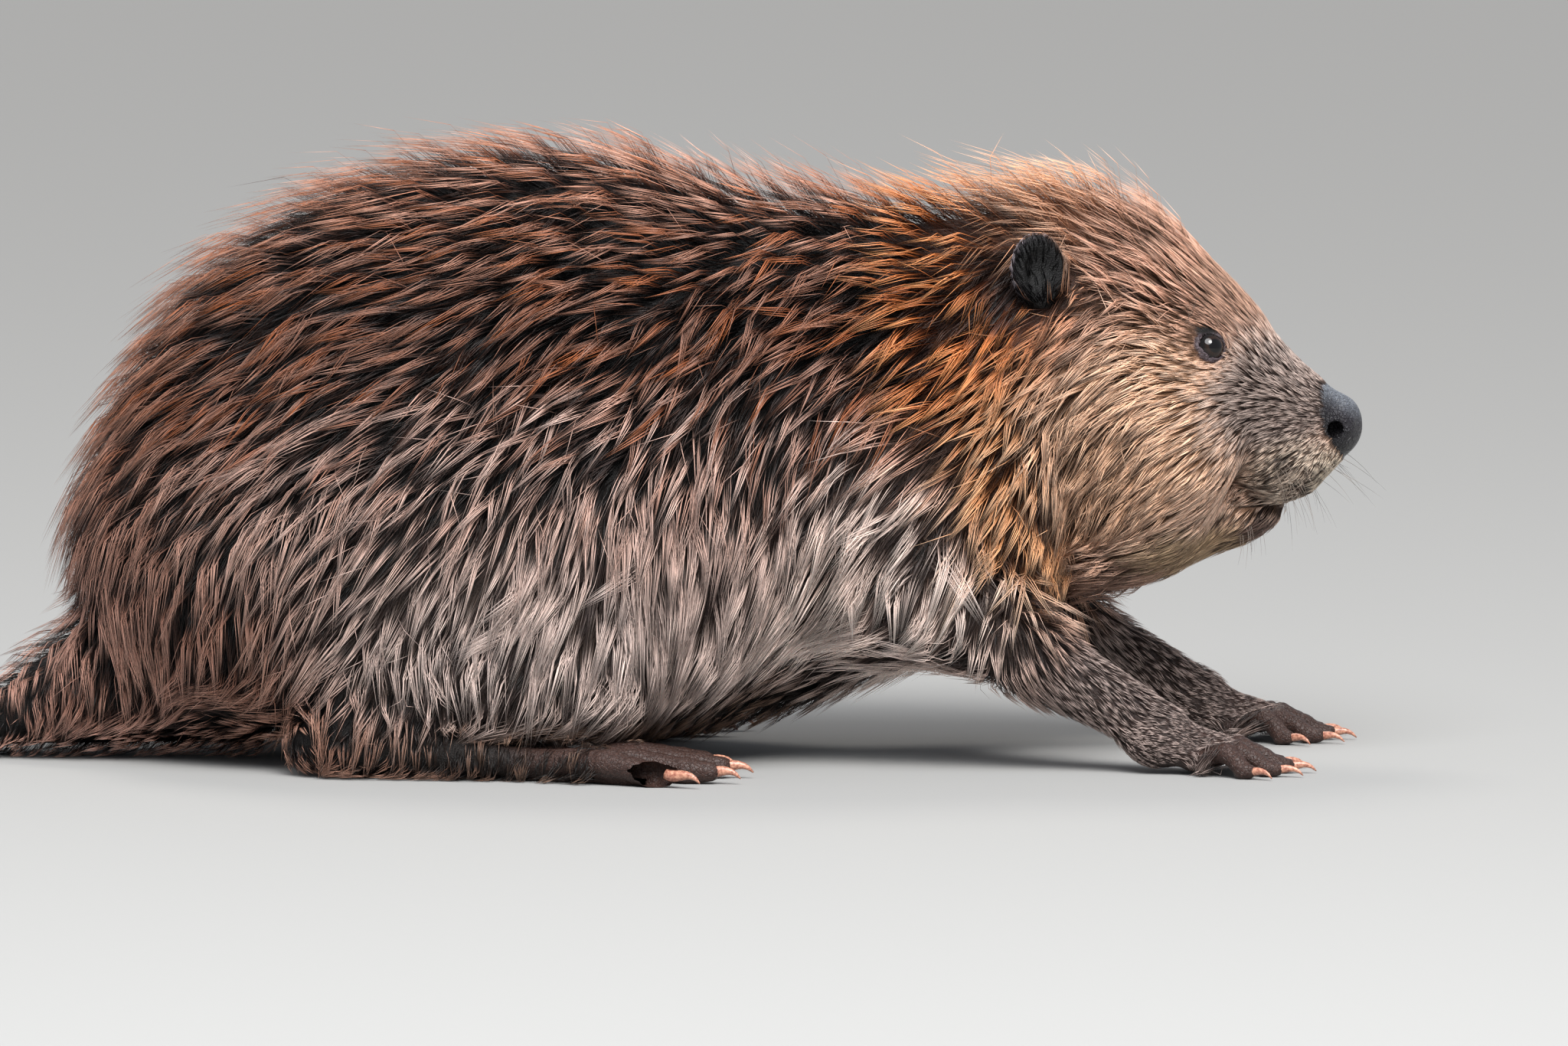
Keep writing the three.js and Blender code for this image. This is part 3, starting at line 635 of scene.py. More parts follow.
def refineSkin(points, faces):  # quads and triangles
    mesh = bpy.data.meshes.new("wrap")
    mesh.from_pydata(points, [], faces.tolist())
    form = bmesh.new()
    form.from_mesh(mesh)
    bpy.data.meshes.remove(mesh)
    for turn in (1, 2):
        places = np.array([v.co for v in form.verts])
        places[:, 1] = np.abs(places[:, 1])
        near = np.zeros(len(places), bool)
        for at, reach, rounds in fineSpots:
            if rounds >= turn:
                near |= np.linalg.norm(places - at, axis=1) < reach
        form.edges.ensure_lookup_table()
        ends = np.array([[v.index for v in edge.verts] for edge in form.edges])
        chosen = [form.edges[i] for i in np.flatnonzero(near[ends].all(1))]
        bmesh.ops.subdivide_edges(form, edges=chosen, cuts=1, use_grid_fill=True)
        form.verts.index_update()
        bmesh.ops.triangulate(form, faces=[f for f in form.faces if len(f.verts) > 4])
    form.verts.index_update()
    refined = np.array([v.co for v in form.verts])
    byCorners = {3: [], 4: []}
    for face in form.faces:
        byCorners[len(face.verts)].append([v.index for v in face.verts])
    form.free()
    refined = settle(refined, 3, 1.2)[0]
    refined[:, 2] = np.maximum(refined[:, 2], 0)
    return refined, [np.array(byCorners[4]), np.array(byCorners[3]).reshape(-1, 3)]


skinPoints, skinFaces = refineSkin(*wrapSkin())
print("skin wrapped:", len(skinPoints), "points,", len(skinFaces[0]) * 2 + len(skinFaces[1]), "triangles")

# Markings, the same for skin and coat: zones painted over each other, each with the colour of the
# underfur, of the middle of a guard hair and of its tip. The underfur's colour also stands for painted shade
# deep in the coat

markings = [
    {"zone": "back", "at": (-110, 150), "reach": (900, 900), "tones": ("#070303", "#734c3c", "#d9a994")},
    {"zone": "flank", "at": (-60, 122), "reach": (190, 62), "tones": ("#0e0a09", "#b29082", "#f7ddd3")},
    {"zone": "saddle", "at": (-80, 200), "reach": (165, 25), "tones": ("#060303", "#4b3025", "#c6947f")},
    {"zone": "lowFlank", "at": (-80, 66), "reach": (120, 50), "tones": ("#51443e", "#c4aea5", "#f3e3dc")},
    {"zone": "rump", "at": (-292, 60), "reach": (62, 84), "tones": ("#0c0706", "#7c5546", "#daae9e")},
    {"zone": "belly", "at": (10, 14), "reach": (200, 34), "tones": ("#1c1410", "#4a372d", "#7d6454")},
    {"zone": "forearm", "at": (158, 28), "reach": (80, 44), "tones": ("#443733", "#92817b", "#b7a59e")},
    {"zone": "shoulder", "at": (54, 96), "reach": (60, 64), "tones": ("#54443d", "#dcc5ba", "#fdf1ea")},
    {"zone": "neck", "at": (94, 193), "reach": (51, 66), "tones": ("#3c1a08", "#c67036", "#f0ac74")},
    {"zone": "ruff", "at": (112, 126), "reach": (38, 60), "tones": ("#4a2b18", "#c48654", "#f9cfa9")},
    {"zone": "face", "at": (186, 150), "reach": (76, 76), "tones": ("#7e614e", "#c8a38d", "#f2d6c4")},
    {"zone": "crown", "at": (130, 240), "reach": (46, 34), "tones": ("#7c4d33", "#d09067", "#f3c5a4")},
    {"zone": "brow", "at": (172, 206), "reach": (46, 36), "tones": ("#624839", "#a67b66", "#d6ac96")},
    {"zone": "cheek", "at": (152, 146), "reach": (44, 44), "tones": ("#85644c", "#cea688", "#f6d6bd")},
    {"zone": "bridge", "at": (204, 192), "reach": (25, 21), "tones": ("#5a4a42", "#856758", "#a6836f")},
    {"zone": "muzzle", "at": (214, 156), "reach": (32, 26), "tones": ("#4e423d", "#7f6f68", "#a4948c")},
    {"zone": "whiskerPad", "at": (222, 124), "reach": (22, 17), "tones": ("#54463d", "#a49181", "#d6c8b9")},
    {"zone": "underNose", "at": (237, 122), "reach": (9, 13), "tones": ("#6b5a4c", "#cbb9a4", "#f2e6d4")},
    {"zone": "chin", "at": (188, 97), "reach": (30, 13), "tones": ("#3b2d24", "#9c8268", "#d6ba9a")},
    # the lip zone is dark: the lower lip's own colour and painted shade under the upper lip
    {"zone": "lip", "at": (209, 104), "reach": (8, 6), "tones": ("#1f1613", "#54413a", "#8a736a")},
]
# the ear's hollow near black as painted shade, the rear rim grey-blue as a painted highlight, the front rim
# the hair's own brown-grey
earTones = {
    "bowl": ("#020202", "#040304", "#080708"),
    "rearRimHighlight": ("#141214", "#5d565c", "#a39aa0"),
    "frontRim": ("#1c1411", "#5f4c43", "#9a8376"),
}


def lightOf(codes):  # one row of linear light for each colour code
    return np.array([linear(code) for code in codes])


def onLeft(points):  # mirrored to the left half
    return points * (1, 0, 1) + np.abs(points) * (0, 1, 0)


def earShare(points):  # 1 on the flap of an ear, 0 on the head
    away = distanceTo(onLeft(points), ear["at"])
    standing = smooth(coatField(*points.T) + coatDepth(*points.T), 1.0, 3.5)
    return (1 - smooth(away, 19, 23)) * np.maximum(standing, 1 - smooth(away, 11, 14))


def tonesAt(points):  # for each point the colours of the underfur, of a hair's middle and of its tip
    tones = np.ones((len(points), 1, 1)) * lightOf(markings[0]["tones"])
    for marking in markings[1:]:
        gap = np.hypot(*((points[:, k] - m) / r for k, m, r in zip((0, 2), marking["at"], marking["reach"])))
        share = (1 - smooth(gap, 0.55, 1.25))[:, None, None]
        tones = tones + (lightOf(marking["tones"]) - tones) * share
    bowl, rearRimHighlight, frontRim = (lightOf(codes) for codes in earTones.values())
    toEar = onLeft(points) - (ear["at"][0], 0, ear["at"][2])
    away = np.linalg.norm(toEar[:, (0, 2)], axis=1)
    rim = smooth(np.hypot(toEar[:, 0] * 1.15, toEar[:, 2] * 0.85), 9.5, 13.5) * smooth(toEar[:, 2], -14, 0)
    # painted highlight along the rear rim, the hair's own brown-grey along the front
    rimTones = rearRimHighlight + (frontRim - rearRimHighlight) * smooth(toEar[:, 0], 1, 8)[:, None, None]
    onEar = bowl + (rimTones - bowl) * rim[:, None, None]
    # where the painted shade below and behind the ear falls
    behind = (1 - smooth(away, 15, 21)) * (1 - smooth(toEar[:, 0], -4, 8))
    before = (1 - smooth(away, 17, 23)) * smooth(toEar[:, 0], 0, 8)
    tones = tones + (frontRim - tones) * 0.6 * before[:, None, None]
    tones = tones * (1 - 0.65 * behind[:, None, None])  # painted shade: the hollow behind and below the ear darkened
    return tones + (onEar - tones) * earShare(points)[:, None, None]


def waves(points, scale, seed):  # smooth noise from -1 to 1
    spread = np.random.default_rng(seed)
    total = np.zeros(len(points))
    for _ in range(5):
        way = spread.normal(size=3)
        way *= spread.uniform(0.6, 1.5) / (np.linalg.norm(way) * scale)
        total += np.sin(points @ way * 2 * math.pi + spread.uniform(0, 6.28))
    return total / 3.2


def meshPiece(name, points, faces, finish, slotName, *replaced):  # faces are arrays of corner numbers
    mesh = bpy.data.meshes.new(name)
    points = place(points).astype(np.float32)
    mesh.vertices.add(len(points))
    mesh.vertices.foreach_set("co", points.ravel())
    loops = np.concatenate([part.ravel() for part in faces])
    sizes = np.concatenate([np.full(len(part), part.shape[1]) for part in faces])
    mesh.loops.add(len(loops))
    mesh.loops.foreach_set("vertex_index", loops.astype(np.int32))
    mesh.polygons.add(len(sizes))
    mesh.polygons.foreach_set("loop_start", (np.cumsum(sizes) - sizes).astype(np.int32))
    mesh.polygons.foreach_set("use_smooth", np.full(len(sizes), True))
    mesh.update(calc_edges=True)
    piece = bpy.data.objects.new(name, mesh)
    bpy.context.collection.objects.link(piece)
    mesh.materials.append(finish.material)
    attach(piece, "root")
    if replaced:
        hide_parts(*replaced)
    return piece


def addAttribute(piece, name, values, kind="FLOAT"):
    layer = piece.data.attributes.new(name, kind, "POINT")
    if kind == "FLOAT":
        layer.data.foreach_set("value", np.asarray(values, np.float32).ravel())
    else:
        rgba = np.column_stack([values, np.ones(len(values))])
        layer.data.foreach_set("color", rgba.astype(np.float32).ravel())


def skinFinish():  # wet leather where the skin is bare, wool elsewhere
    finish = Finish("skinAndUnderfur")
    bare = finish.attribute("bare", 2)
    grain = finish.noise(900, 4).between(0.3, 0.75)
    colour = finish.attribute("marking").tint(grain.mix((0.62, 0.6, 0.6), (1.25, 1.22, 1.2)))
    creases = finish.cracks(620, 0.12)
    pores = finish.noise(2400, 2)
    wool = finish.noise(1500, 3)
    lumps = finish.noise(240, 1)
    finish.set(Base_Color=colour, Roughness=0.6 - 0.34 * bare, Specular_IOR_Level=0.3)
    finish.bump(bare * bare * (creases * 0.7 + lumps * 2.5 + pores * 0.5) + (1 - bare) * wool, 0.8, 0.001)
    return finish


# noseTopSheen is a painted highlight; the near-black nostril tone is painted shade in the nostrils, on the
# lower back of the nose pad, in the slit of the mouth and in the ear's hollow, and also darkens the upper lid
bareTones = {
    "nose": linear("#2c2a2f"), "noseTopSheen": linear("#7d848d"), "nostril": linear("#050404"),
    "paw": linear("#3d2c27"), "lid": linear("#4b4145"),
}


def buildSkin():
    x, y, z = skinPoints.T
    side = np.abs(y)
    tones = tonesAt(skinPoints)
    away = distanceTo(skinPoints, noseTip)
    share = (0.25 * (1 - smooth(away, 20, 90)))[:, None]  # of the hair's own tone, on the short-haired muzzle
    # the skin takes the underfur's colour at 0.6 on the body, as painted shade in the gaps between the locks,
    # and lighter towards the face
    colour = tones[:, 0] * (0.6 + share + 0.5 * (1 - smooth(away, 80, 150))[:, None]) + tones[:, 1] * share
    bare = np.zeros(len(x))

    def paint(share, tone, isBare=1.0):
        nonlocal colour, bare
        colour = colour + (np.array(bareTones[tone]) - colour) * share[:, None]
        bare = bare + (isBare - bare) * share

    def toward(at, low, high, squash=(1, 1, 1)):  # 1 within low of a place, 0 past high
        gaps = [(p - a) * s for p, a, s in zip((x, side, z), at, squash)]
        return 1 - smooth(np.sqrt(sum(g * g for g in gaps)), low, high)

    noseX, noseZ = x - 238, z - 146
    onPad = padGap(x, y, z) < 1.1
    paint(1 - smooth(padGap(x, y, z), 0.98, 1.2), "nose")
    # painted highlight: a reflection of the sky on the top and front of the wet nose pad, lighter and
    # blue-grey
    paint(onPad * smooth(0.9 * noseZ + 0.5 * noseX, 2, 13) * 0.8, "noseTopSheen")
    # painted shade: the lower back of the nose pad and the inside of each nostril darkened with the nostril
    # tone
    paint(onPad * (1 - smooth(0.8 * noseZ + 0.9 * noseX, -10, 8)) * 0.8, "nostril")
    paint(toward(nose["nostril"][0], 2.2, 4.6), "nostril")
    paint(toward(eye["at"], 7.7, 8.8), "lid", 0.7)
    paint(toward(np.add(eye["at"], (-1, 0, 7.6)), 2.5, 6.0, (0.7, 1, 1.3)), "nostril", 0)
    # painted shade in the slit between the lips
    mouthGap = np.abs(z - mouthLine(x, y))
    paint((1 - smooth(mouthGap, 0.9, 2.2)) * smooth(x, 186, 194) * (side < 26), "nostril", 0.6)
    # painted shade in the hollow of the ear
    paint(toward(np.add(ear["at"], (1, 2, -2)), 9, 14), "nostril", 0)
    for label, palm in palms.items():
        near = (y * sides[label] > 0) & (z < 40)
        ahead = smooth(x, palm["heel"][0] + 8, palm["heel"][0] + 24)
        paint(near * ahead * (1 - smooth(z, 28, 36)), "paw", 0.6)
    onFoot = (side > 55) & (x > -230) & (x < -10) & (z < 22)
    paint(onFoot * (1 - smooth(z, 15, 22)) * smooth(x, -130, -95), "paw", 0.6)
    middleNodes = "tail_root", "rump", "loin", "chest", "neck", "head", "nose", "lower_jaw"
    pairedNodes = "shoulder", "thigh", "forearm", "forepaw", "hind_foot", "ear"
    replaced = [*middleNodes, *(f"{part}_{label}" for label in sides for part in pairedNodes)]
    skin = meshPiece("skin", skinPoints, skinFaces, skinFinish(), "coat", *replaced)
    addAttribute(skin, "marking", colour, "FLOAT_COLOR")
    addAttribute(skin, "bare", bare)


buildSkin()
print("skin coloured")

# Coat: pointed strands that gather into wet locks and follow the lie of the hair

lie = [  # places seen from the side, each with the way the hair points, in degrees below straight back
    (-150, 265, -4), (-60, 262, -3), (20, 245, -2), (80, 245, -16), (-210, 225, 10), (-150, 218, 22),
    (-75, 218, 26), (5, 212, 28), (65, 205, 32), (-270, 170, 24), (-300, 110, 52), (-290, 50, 88),
    (-240, 60, 74), (-210, 150, 36), (-140, 162, 38), (-90, 160, 46), (-50, 162, 56), (35, 155, 46),
    (-190, 90, 56), (-140, 93, 58), (-100, 85, 70), (-55, 90, 82), (-10, 95, 68), (25, 95, 56),
    (-150, 25, 85), (-60, 25, 88), (40, 55, 66), (80, 180, 45), (85, 130, 60), (90, 100, 72),
    (120, 175, 34), (113, 136, 62), (120, 99, 76), (135, 160, 40), (140, 130, 52), (152, 89, 65),
    (169, 117, 48), (176, 148, 25), (182, 170, 4), (190, 100, 46), (130, 240, -52), (105, 245, -38),
    (165, 215, -32), (185, 196, -30), (152, 204, -22), (165, 188, -14), (145, 190, 6), (200, 174, -26),
    (216, 160, -22), (206, 152, 4), (216, 132, 34), (225, 115, 60), (96, 205, 38),
]
liePlaces = np.array([(x, z) for x, z, _ in lie], float)
lieAngles = np.radians([angle for _, _, angle in lie])


def lieOf(points, normals, turn=0.0):  # the way of the hair, along the skin
    gaps = (points[:, None, 0] - liePlaces[:, 0]) ** 2 + (points[:, None, 2] - liePlaces[:, 1]) ** 2
    weights = 1 / (gaps + 60.0) ** 2
    weights /= weights.sum(1, keepdims=True)
    back, down = weights @ np.cos(lieAngles), weights @ np.sin(lieAngles)
    angle = np.arctan2(down, back) * (1 - smooth(-normals[:, 2], 0.35, 0.8)) + turn
    way = np.column_stack([-np.cos(angle), 0.14 * np.tanh(points[:, 1] / 25), -np.sin(angle)])
    for limb in limbs:
        share = limb["share"](points)[:, None]
        way = way * (1 - share) + np.array(limb["way"]) * share
    share = earShare(points)[:, None]
    fromRoot = onLeft(points) - (ear["at"][0], ear["at"][1] - 4, ear["at"][2] - 16)
    fromRoot[:, 1] *= np.sign(points[:, 1])
    way = way * (1 - share) + fromRoot / np.linalg.norm(fromRoot, axis=1, keepdims=True) * share
    way -= normals * (way * normals).sum(1, keepdims=True)
    return way / np.maximum(np.linalg.norm(way, axis=1, keepdims=True), 1e-6)


def limbShare(start, end, reach):  # 1 on a limb, 0 away from it
    def share(points):
        return 1 - smooth(capsule(*points.T, start, end, 0, 0), reach * 0.8, reach * 1.15)

    return share


limbs = []  # for each, the depth of its coat, and the length, spacing, width and number of its strands
for side in sides:
    arm, palm, foot = forearms[side], palms[side], soles[side]
    middle = np.array(arm["elbow"]) * 0.65 + np.array(arm["wrist"]) * 0.35
    armWay = unit(np.subtract(arm["wrist"], arm["elbow"])) + (0, 0, -0.3)
    limbs.append({"share": limbShare(middle, arm["wrist"], 16), "way": unit(armWay),
                  "depth": 2.0, "hair": (8, 2.5, 0.18, 5)})
    knuckle = np.array(palm["knuckle"], float) + (30, 0, 0)
    limbs.append({"share": limbShare(palm["heel"], knuckle, 15), "way": unit((1, 0, -0.15)),
                  "depth": 0.7, "hair": (4.2, 1.7, 0.14, 5)})
    toes = np.array(foot["knuckle"], float) + (70, 0, 0)
    limbs.append({"share": limbShare(foot["heel"], toes, 13), "way": unit((1, 0, -0.1)),
                  "depth": 1.0, "hair": (5, 2.4, 0.17, 5)})

coat = {
    "face": {  # by the distance from the tip of the nose
        "away": (14, 40, 70, 100, 140, 190), "length": (3, 9, 18, 26, 32, 35),
        "spacing": (1.2, 1.65, 2.15, 2.75, 3.75, 4.4), "width": (0.12, 0.16, 0.19, 0.2, 0.185, 0.18),
        "strands": (4, 5, 6, 7, 7.8, 7.8),
    },
    "trunk": {"height": (15, 80, 150, 250), "length": (21, 38, 40, 35)},
    "turn": 11.0, "swirl": 15.0,  # degrees of disorder from lock to lock, and of slow waves
    "strayShare": 0.12, "underShare": 0.54,
    "thrown": 2.6, "levelRatio": 1.25,  # roots tried in a lock's square, and each size of square to the next
    "steps": 6, "rings": (0.0, 0.5), "girth": (0.8, 1.0),  # a strand's rings along it, and their widths
    "reach": (0.72, 1.06),  # a strand's share of its lock's length
    "closing": (0.02, 0.2),  # share of a lock's width left at its tip
    "lift": {  # how high a lock ends, in depths of the coat, and what stands up more
        "upper": (0.8, 1.12), "under": (0.4, 0.7), "crest": (0.1, 0.85), "crestStray": (0.3, 1.4),
        "crown": (0.05, 0.7), "behind": (0.1, 0.7), "throat": (0, 1.6),
    },
    "headFrom": 96, "muzzleReach": 62,  # where the pieces of the face begin
    "top": 274.0, "patch": 0.003,
}
broadLocks = [((-60, 82), (70, 42)), ((34, 92), (56, 34))]  # low on the flank, behind the elbow
hairZones = {  # ovals seen from the side: middle, reach
    "pad": ((216, 122), (22, 17)), "crown": ((128, 236), (58, 28)), "throat": ((128, 80), (40, 22)),
}


def broadShare(x, z):  # 1 where the coat hangs in wide wet locks
    gaps = [np.hypot((x - at[0]) / reach[0], (z - at[1]) / reach[1]) for at, reach in broadLocks]
    return 1 - smooth(np.min(gaps, axis=0), 0.5, 1.1)


def inZone(points, name, low=0.5):  # 1 in the middle of the zone, 0 outside it
    at, reach = hairZones[name]
    gap = np.hypot((points[:, 0] - at[0]) / reach[0], (points[:, 2] - at[1]) / reach[1])
    return 1 - smooth(gap, low, 1.1)


def hairAt(points):  # length, spacing of the locks, half width of a strand, strands in a lock
    x, _, z = points.T
    face, trunk = coat["face"], coat["trunk"]
    away = distanceTo(points, noseTip)
    length, spacing, width, strands = (np.interp(away, face["away"], face[k])
                                       for k in ("length", "spacing", "width", "strands"))
    onTrunk = smooth(-x, -100, -50)
    length = length + onTrunk * (np.interp(z, trunk["height"], trunk["length"]) - length)
    low = 1 - smooth(z, 16, 34)
    length = length * (1 - 0.5 * low * onTrunk)
    broad = broadShare(x, z)
    length, spacing, strands = (value * (1 + more * broad)
                                for value, more in ((length, 0.25), (spacing, 0.7), (strands, 1.8)))
    near = 1 - smooth(distanceTo(onLeft(points), eye["at"]), 9, 26)
    hair = [length * (1 - 0.62 * near), spacing * (1 - 0.35 * near), width * (1 - 0.4 * near), strands]
    for limb in limbs:
        share = limb["share"](points)
        hair = [value + (own - value) * share for value, own in zip(hair, limb["hair"])]
    hair[0] = hair[0] * (1 - 0.35 * smooth(-x, 300, 330))
    onEar = earShare(points)
    return [value + (own - value) * onEar for value, own in zip(hair, ear["hair"])]


def scatterRoots():  # thrown evenly over the skin, then at most one kept in each square of its spacing
    quads = np.concatenate([skinFaces[0], skinFaces[1][:, (0, 1, 2, 2)]])
    corners = skinPoints[quads]
    first = np.cross(corners[:, 1] - corners[:, 0], corners[:, 2] - corners[:, 0])
    second = np.cross(corners[:, 2] - corners[:, 0], corners[:, 3] - corners[:, 0])
    area = (np.linalg.norm(first, axis=1) + np.linalg.norm(second, axis=1)) / 2
    spacing = hairAt(corners.mean(1))[1]
    expected = area / spacing ** 2 * coat["thrown"]
    picks = np.repeat(np.arange(len(area)), rng.poisson(expected))
    u, v = rng.random((2, len(picks), 1))
    c = corners[picks]
    points = (c[:, 0] * (1 - u) + c[:, 1] * u) * (1 - v) + (c[:, 3] * (1 - u) + c[:, 2] * u) * v
    levels = np.round(np.log(spacing[picks]) / math.log(coat["levelRatio"])).astype(int)
    kept = []
    for level in np.unique(levels):
        own = np.flatnonzero(levels == level)
        keys = np.floor(points[own] / coat["levelRatio"] ** level).astype(int)
        _, firsts = np.unique(keys, axis=0, return_index=True)
        kept.append(own[np.sort(firsts)])
    return settle(points[np.concatenate(kept)])


def furless(points):  # places that stay bare
    x, y, z = points.T
    mirrored = onLeft(points)
    bare = padGap(x, y, z) < 1.02
    inBowl = distanceTo(mirrored, np.add(ear["at"], (2, 4.5, 0))) < 10.5
    bare |= inBowl & (rng.random(len(x)) < 0.7)
    bare |= distanceTo(mirrored, np.add(ear["at"], (0, 3, -18))) < 4
    bare |= distanceTo(mirrored, eye["at"]) < 7.9
    bare |= z < 1.2
    for label, palm in palms.items():
        outward = y * sides[label]
        bare |= (x > palm["knuckle"][0] + 9) & (x < 250) & (outward > 30) & (z < 26)  # fingers
        bare |= (x > palm["heel"][0]) & (outward > 30) & (z < 6)  # pads
        bare |= (x > soles[label]["knuckle"][0] + 22) & (x < -10) & (outward > 50) & (z < 15)  # toes
    return bare


def growLocks(roots, normals, length, turn, lift):  # the middle line of each lock, over the skin
    depth = np.maximum(coatDepth(*roots.T), 0.9)
    for limb in limbs:
        depth = depth + (limb["depth"] - depth) * limb["share"](roots)
    depth = depth + (0.8 - depth) * earShare(roots)
    steps = coat["steps"]
    points, ways = roots, normals
    path, ups = [roots], [normals]
    for step in range(1, steps + 1):
        way = lieOf(points, ways, turn)
        points, ways = settle(points + way * (length / steps)[:, None], 1, 4.0)
        t = step / steps
        rise = depth * lift * (1 - (1 - t) ** 2)
        path.append(points + ways * rise[:, None])
        ups.append(ways)
    return np.stack(path, 1), np.stack(ups, 1)


def alongPath(path, t):  # the point of each lock at a share of its length
    steps = path.shape[1] - 1
    at = t * steps
    low = min(int(at), steps - 1)
    return path[:, low] * (1 - (at - low)) + path[:, low + 1] * (at - low)


def buildStrands(path, ups, lock, offsets, reach, closing, width):  # rings of three corners, then the tip
    rings = []
    root = path[lock, 0]
    for t, girth in zip(coat["rings"], coat["girth"]):
        gather = (1 - t * reach * (1 - closing))[:, None]
        here, ahead = alongPath(path, t)[lock], alongPath(path, t + 0.2)[lock]
        up = alongPath(ups, t)[lock]
        centre = root + (here - root) * reach[:, None] + offsets * gather
        across = np.cross(ahead - here - offsets * 0.25, up)
        across /= np.maximum(np.linalg.norm(across, axis=1, keepdims=True), 1e-6)
        half = (width * girth)[:, None]
        low = centre - up * half * 0.3
        rings += [low - across * half, centre + up * half * 0.8, low + across * half]
    end = alongPath(path, 1.0)[lock]
    gather = (1 - np.minimum(reach, 1) * (1 - closing))[:, None]
    rings.append(root + (end - root) * reach[:, None] + offsets * gather)
    points = np.stack(rings, 1)
    points[:, :, 2] = np.maximum(points[:, :, 2], 0.3)  # nothing goes into the floor
    first = np.arange(len(lock))[:, None, None] * points.shape[1]
    quads = np.array([[j, (j + 1) % 3, 3 + (j + 1) % 3, 3 + j] for j in range(3)])
    tips = np.array([[3 + j, 3 + (j + 1) % 3, 6] for j in range(3)] + [[2, 1, 0]])
    return points.reshape(-1, 3), (first + quads).reshape(-1, 4), (first + tips).reshape(-1, 3)


def strandPatches(places):  # the strand laid flat in its own small square, its foot cap beside its root
    quads = [[(j / 3, 0.1), ((j + 1) / 3, 0.1), ((j + 1) / 3, 0.5), (j / 3, 0.5)] for j in range(3)]
    tips = [[(j / 3, 0.5), ((j + 1) / 3, 0.5), ((j + 0.5) / 3, 1)] for j in range(3)]
    tips.append([(0.3, 0.08), (0.5, 0), (0.1, 0)])
    patches = [np.array(shapes).reshape(-1, 2) - 0.5 for shapes in (quads, tips)]
    return [(places[:, None] + patch[None] * coat["patch"]).reshape(-1, 2) for patch in patches]


copperTones = lightOf(("#7a4020", "#c07040"))  # middle and tip of the reddest hairs


def coatFinish(name, **gloss):
    finish = Finish(name, **gloss)
    along = finish.attribute("along", 2)
    tone = finish.attribute("tone", 2)
    root, middle, tip = (finish.attribute(part) for part in ("rootTone", "hairTone", "tipTone"))
    # darker towards the root: the underfur's colour, which also stands for painted shade deep in the coat
    colour = along.between(0.25, 0.6).mix(root, middle)
    colour = along.between(0.4, 0.88).mix(colour, tip)
    # each lock's tone tint, which takes the lower locks down to near black as painted shade
    colour = colour.tint(tone.between(0.0, 1.0).mix((0.08, 0.07, 0.07), (1.5, 1.48, 1.46)))
    finish.set(Base_Color=colour)
    return finish


guardHair = coatFinish("guardHair", Roughness=0.42, Specular_IOR_Level=0.36)
earHair = coatFinish("earHair", Roughness=0.7, Specular_IOR_Level=0.06)




bodyMiddle = {"x": (-330, -230, -100, 30, 110, 180, 240), "z": (40, 90, 120, 130, 160, 145, 140)}


def bodyUnwrap(points):  # along the body and round it
    x, y, z = points.T
    around = np.arctan2(z - np.interp(x, bodyMiddle["x"], bodyMiddle["z"]), y) % (2 * math.pi)
    spread = [0.03 + 0.94 * (value - value.min()) / max(np.ptp(value), 1e-6) for value in (x, around)]
    return np.column_stack(spread)


def coatPiece(name, path, ups, own, places, hair, finish, slotName):  # the strands of the locks listed in own
    strands = hair["strands"][own]
    lock = np.repeat(np.arange(len(own)), strands)
    path, ups = path[own], ups[own]
    normal = ups[:, 0][lock]
    spin, out = rng.uniform(0, 2 * math.pi, len(lock)), np.sqrt(rng.random(len(lock)))
    helper = np.cross(normal, (0.0, 0.3, 1.0))
    helper /= np.maximum(np.linalg.norm(helper, axis=1, keepdims=True), 1e-6)
    other = np.cross(normal, helper)
    radius = (hair["radius"][own][lock] * out)[:, None]
    offsets = (helper * np.cos(spin)[:, None] + other * np.sin(spin)[:, None]) * radius
    single = strands[lock] == 1
    offsets[single] = 0
    reach = rng.uniform(*coat["reach"], len(lock))
    closing = rng.uniform(*coat["closing"], len(own))[lock] + np.abs(rng.normal(0, 0.05, len(lock)))
    thick = hair["width"][own][lock] * rng.uniform(0.7, 1.3, len(lock)) * np.where(single, 0.8, 1)
    points, quads, tips = buildStrands(path, ups, lock, offsets, reach, closing, thick)
    piece = meshPiece(name, points, [quads, tips], finish, slotName)
    perStrand = len(points) // len(lock)
    along = np.tile(np.repeat([*coat["rings"], 1.0], [3, 3, 1]), len(lock))
    # each lock's brightness: random, with its shade, which holds the painted shade of the lower locks
    lockTone = (rng.normal(0, 0.1, len(own)) + hair["shade"][own])[lock]
    tone = np.clip(0.55 + lockTone + rng.normal(0, 0.14, len(lock)), 0, 1)
    addAttribute(piece, "along", along)
    addAttribute(piece, "tone", np.repeat(tone, perStrand))
    tones = tonesAt(path[:, 0])
    copper = (rng.random((len(own), 1)) * hair["copper"][own][:, None]) ** 2.2
    tones[:, 1:] += (copperTones - tones[:, 1:]) * copper[:, None]
    for k, attribute in enumerate(("rootTone", "hairTone", "tipTone")):
        addAttribute(piece, attribute, np.repeat(tones[lock, k], perStrand, axis=0), "FLOAT_COLOR")
    layer = piece.data.uv_layers.new(name="OFBake")
    layer.data.foreach_set("uv", np.concatenate(strandPatches(places[own][lock])).astype(np.float32).ravel())
    print(" ", name, len(lock), "strands,", len(lock) * 10, "triangles")


bodyParts = {  # from, to
    "Rump": (-400, -200), "Loin": (-200, -110), "Waist": (-110, -10), "Chest": (-10, coat["headFrom"]),
}


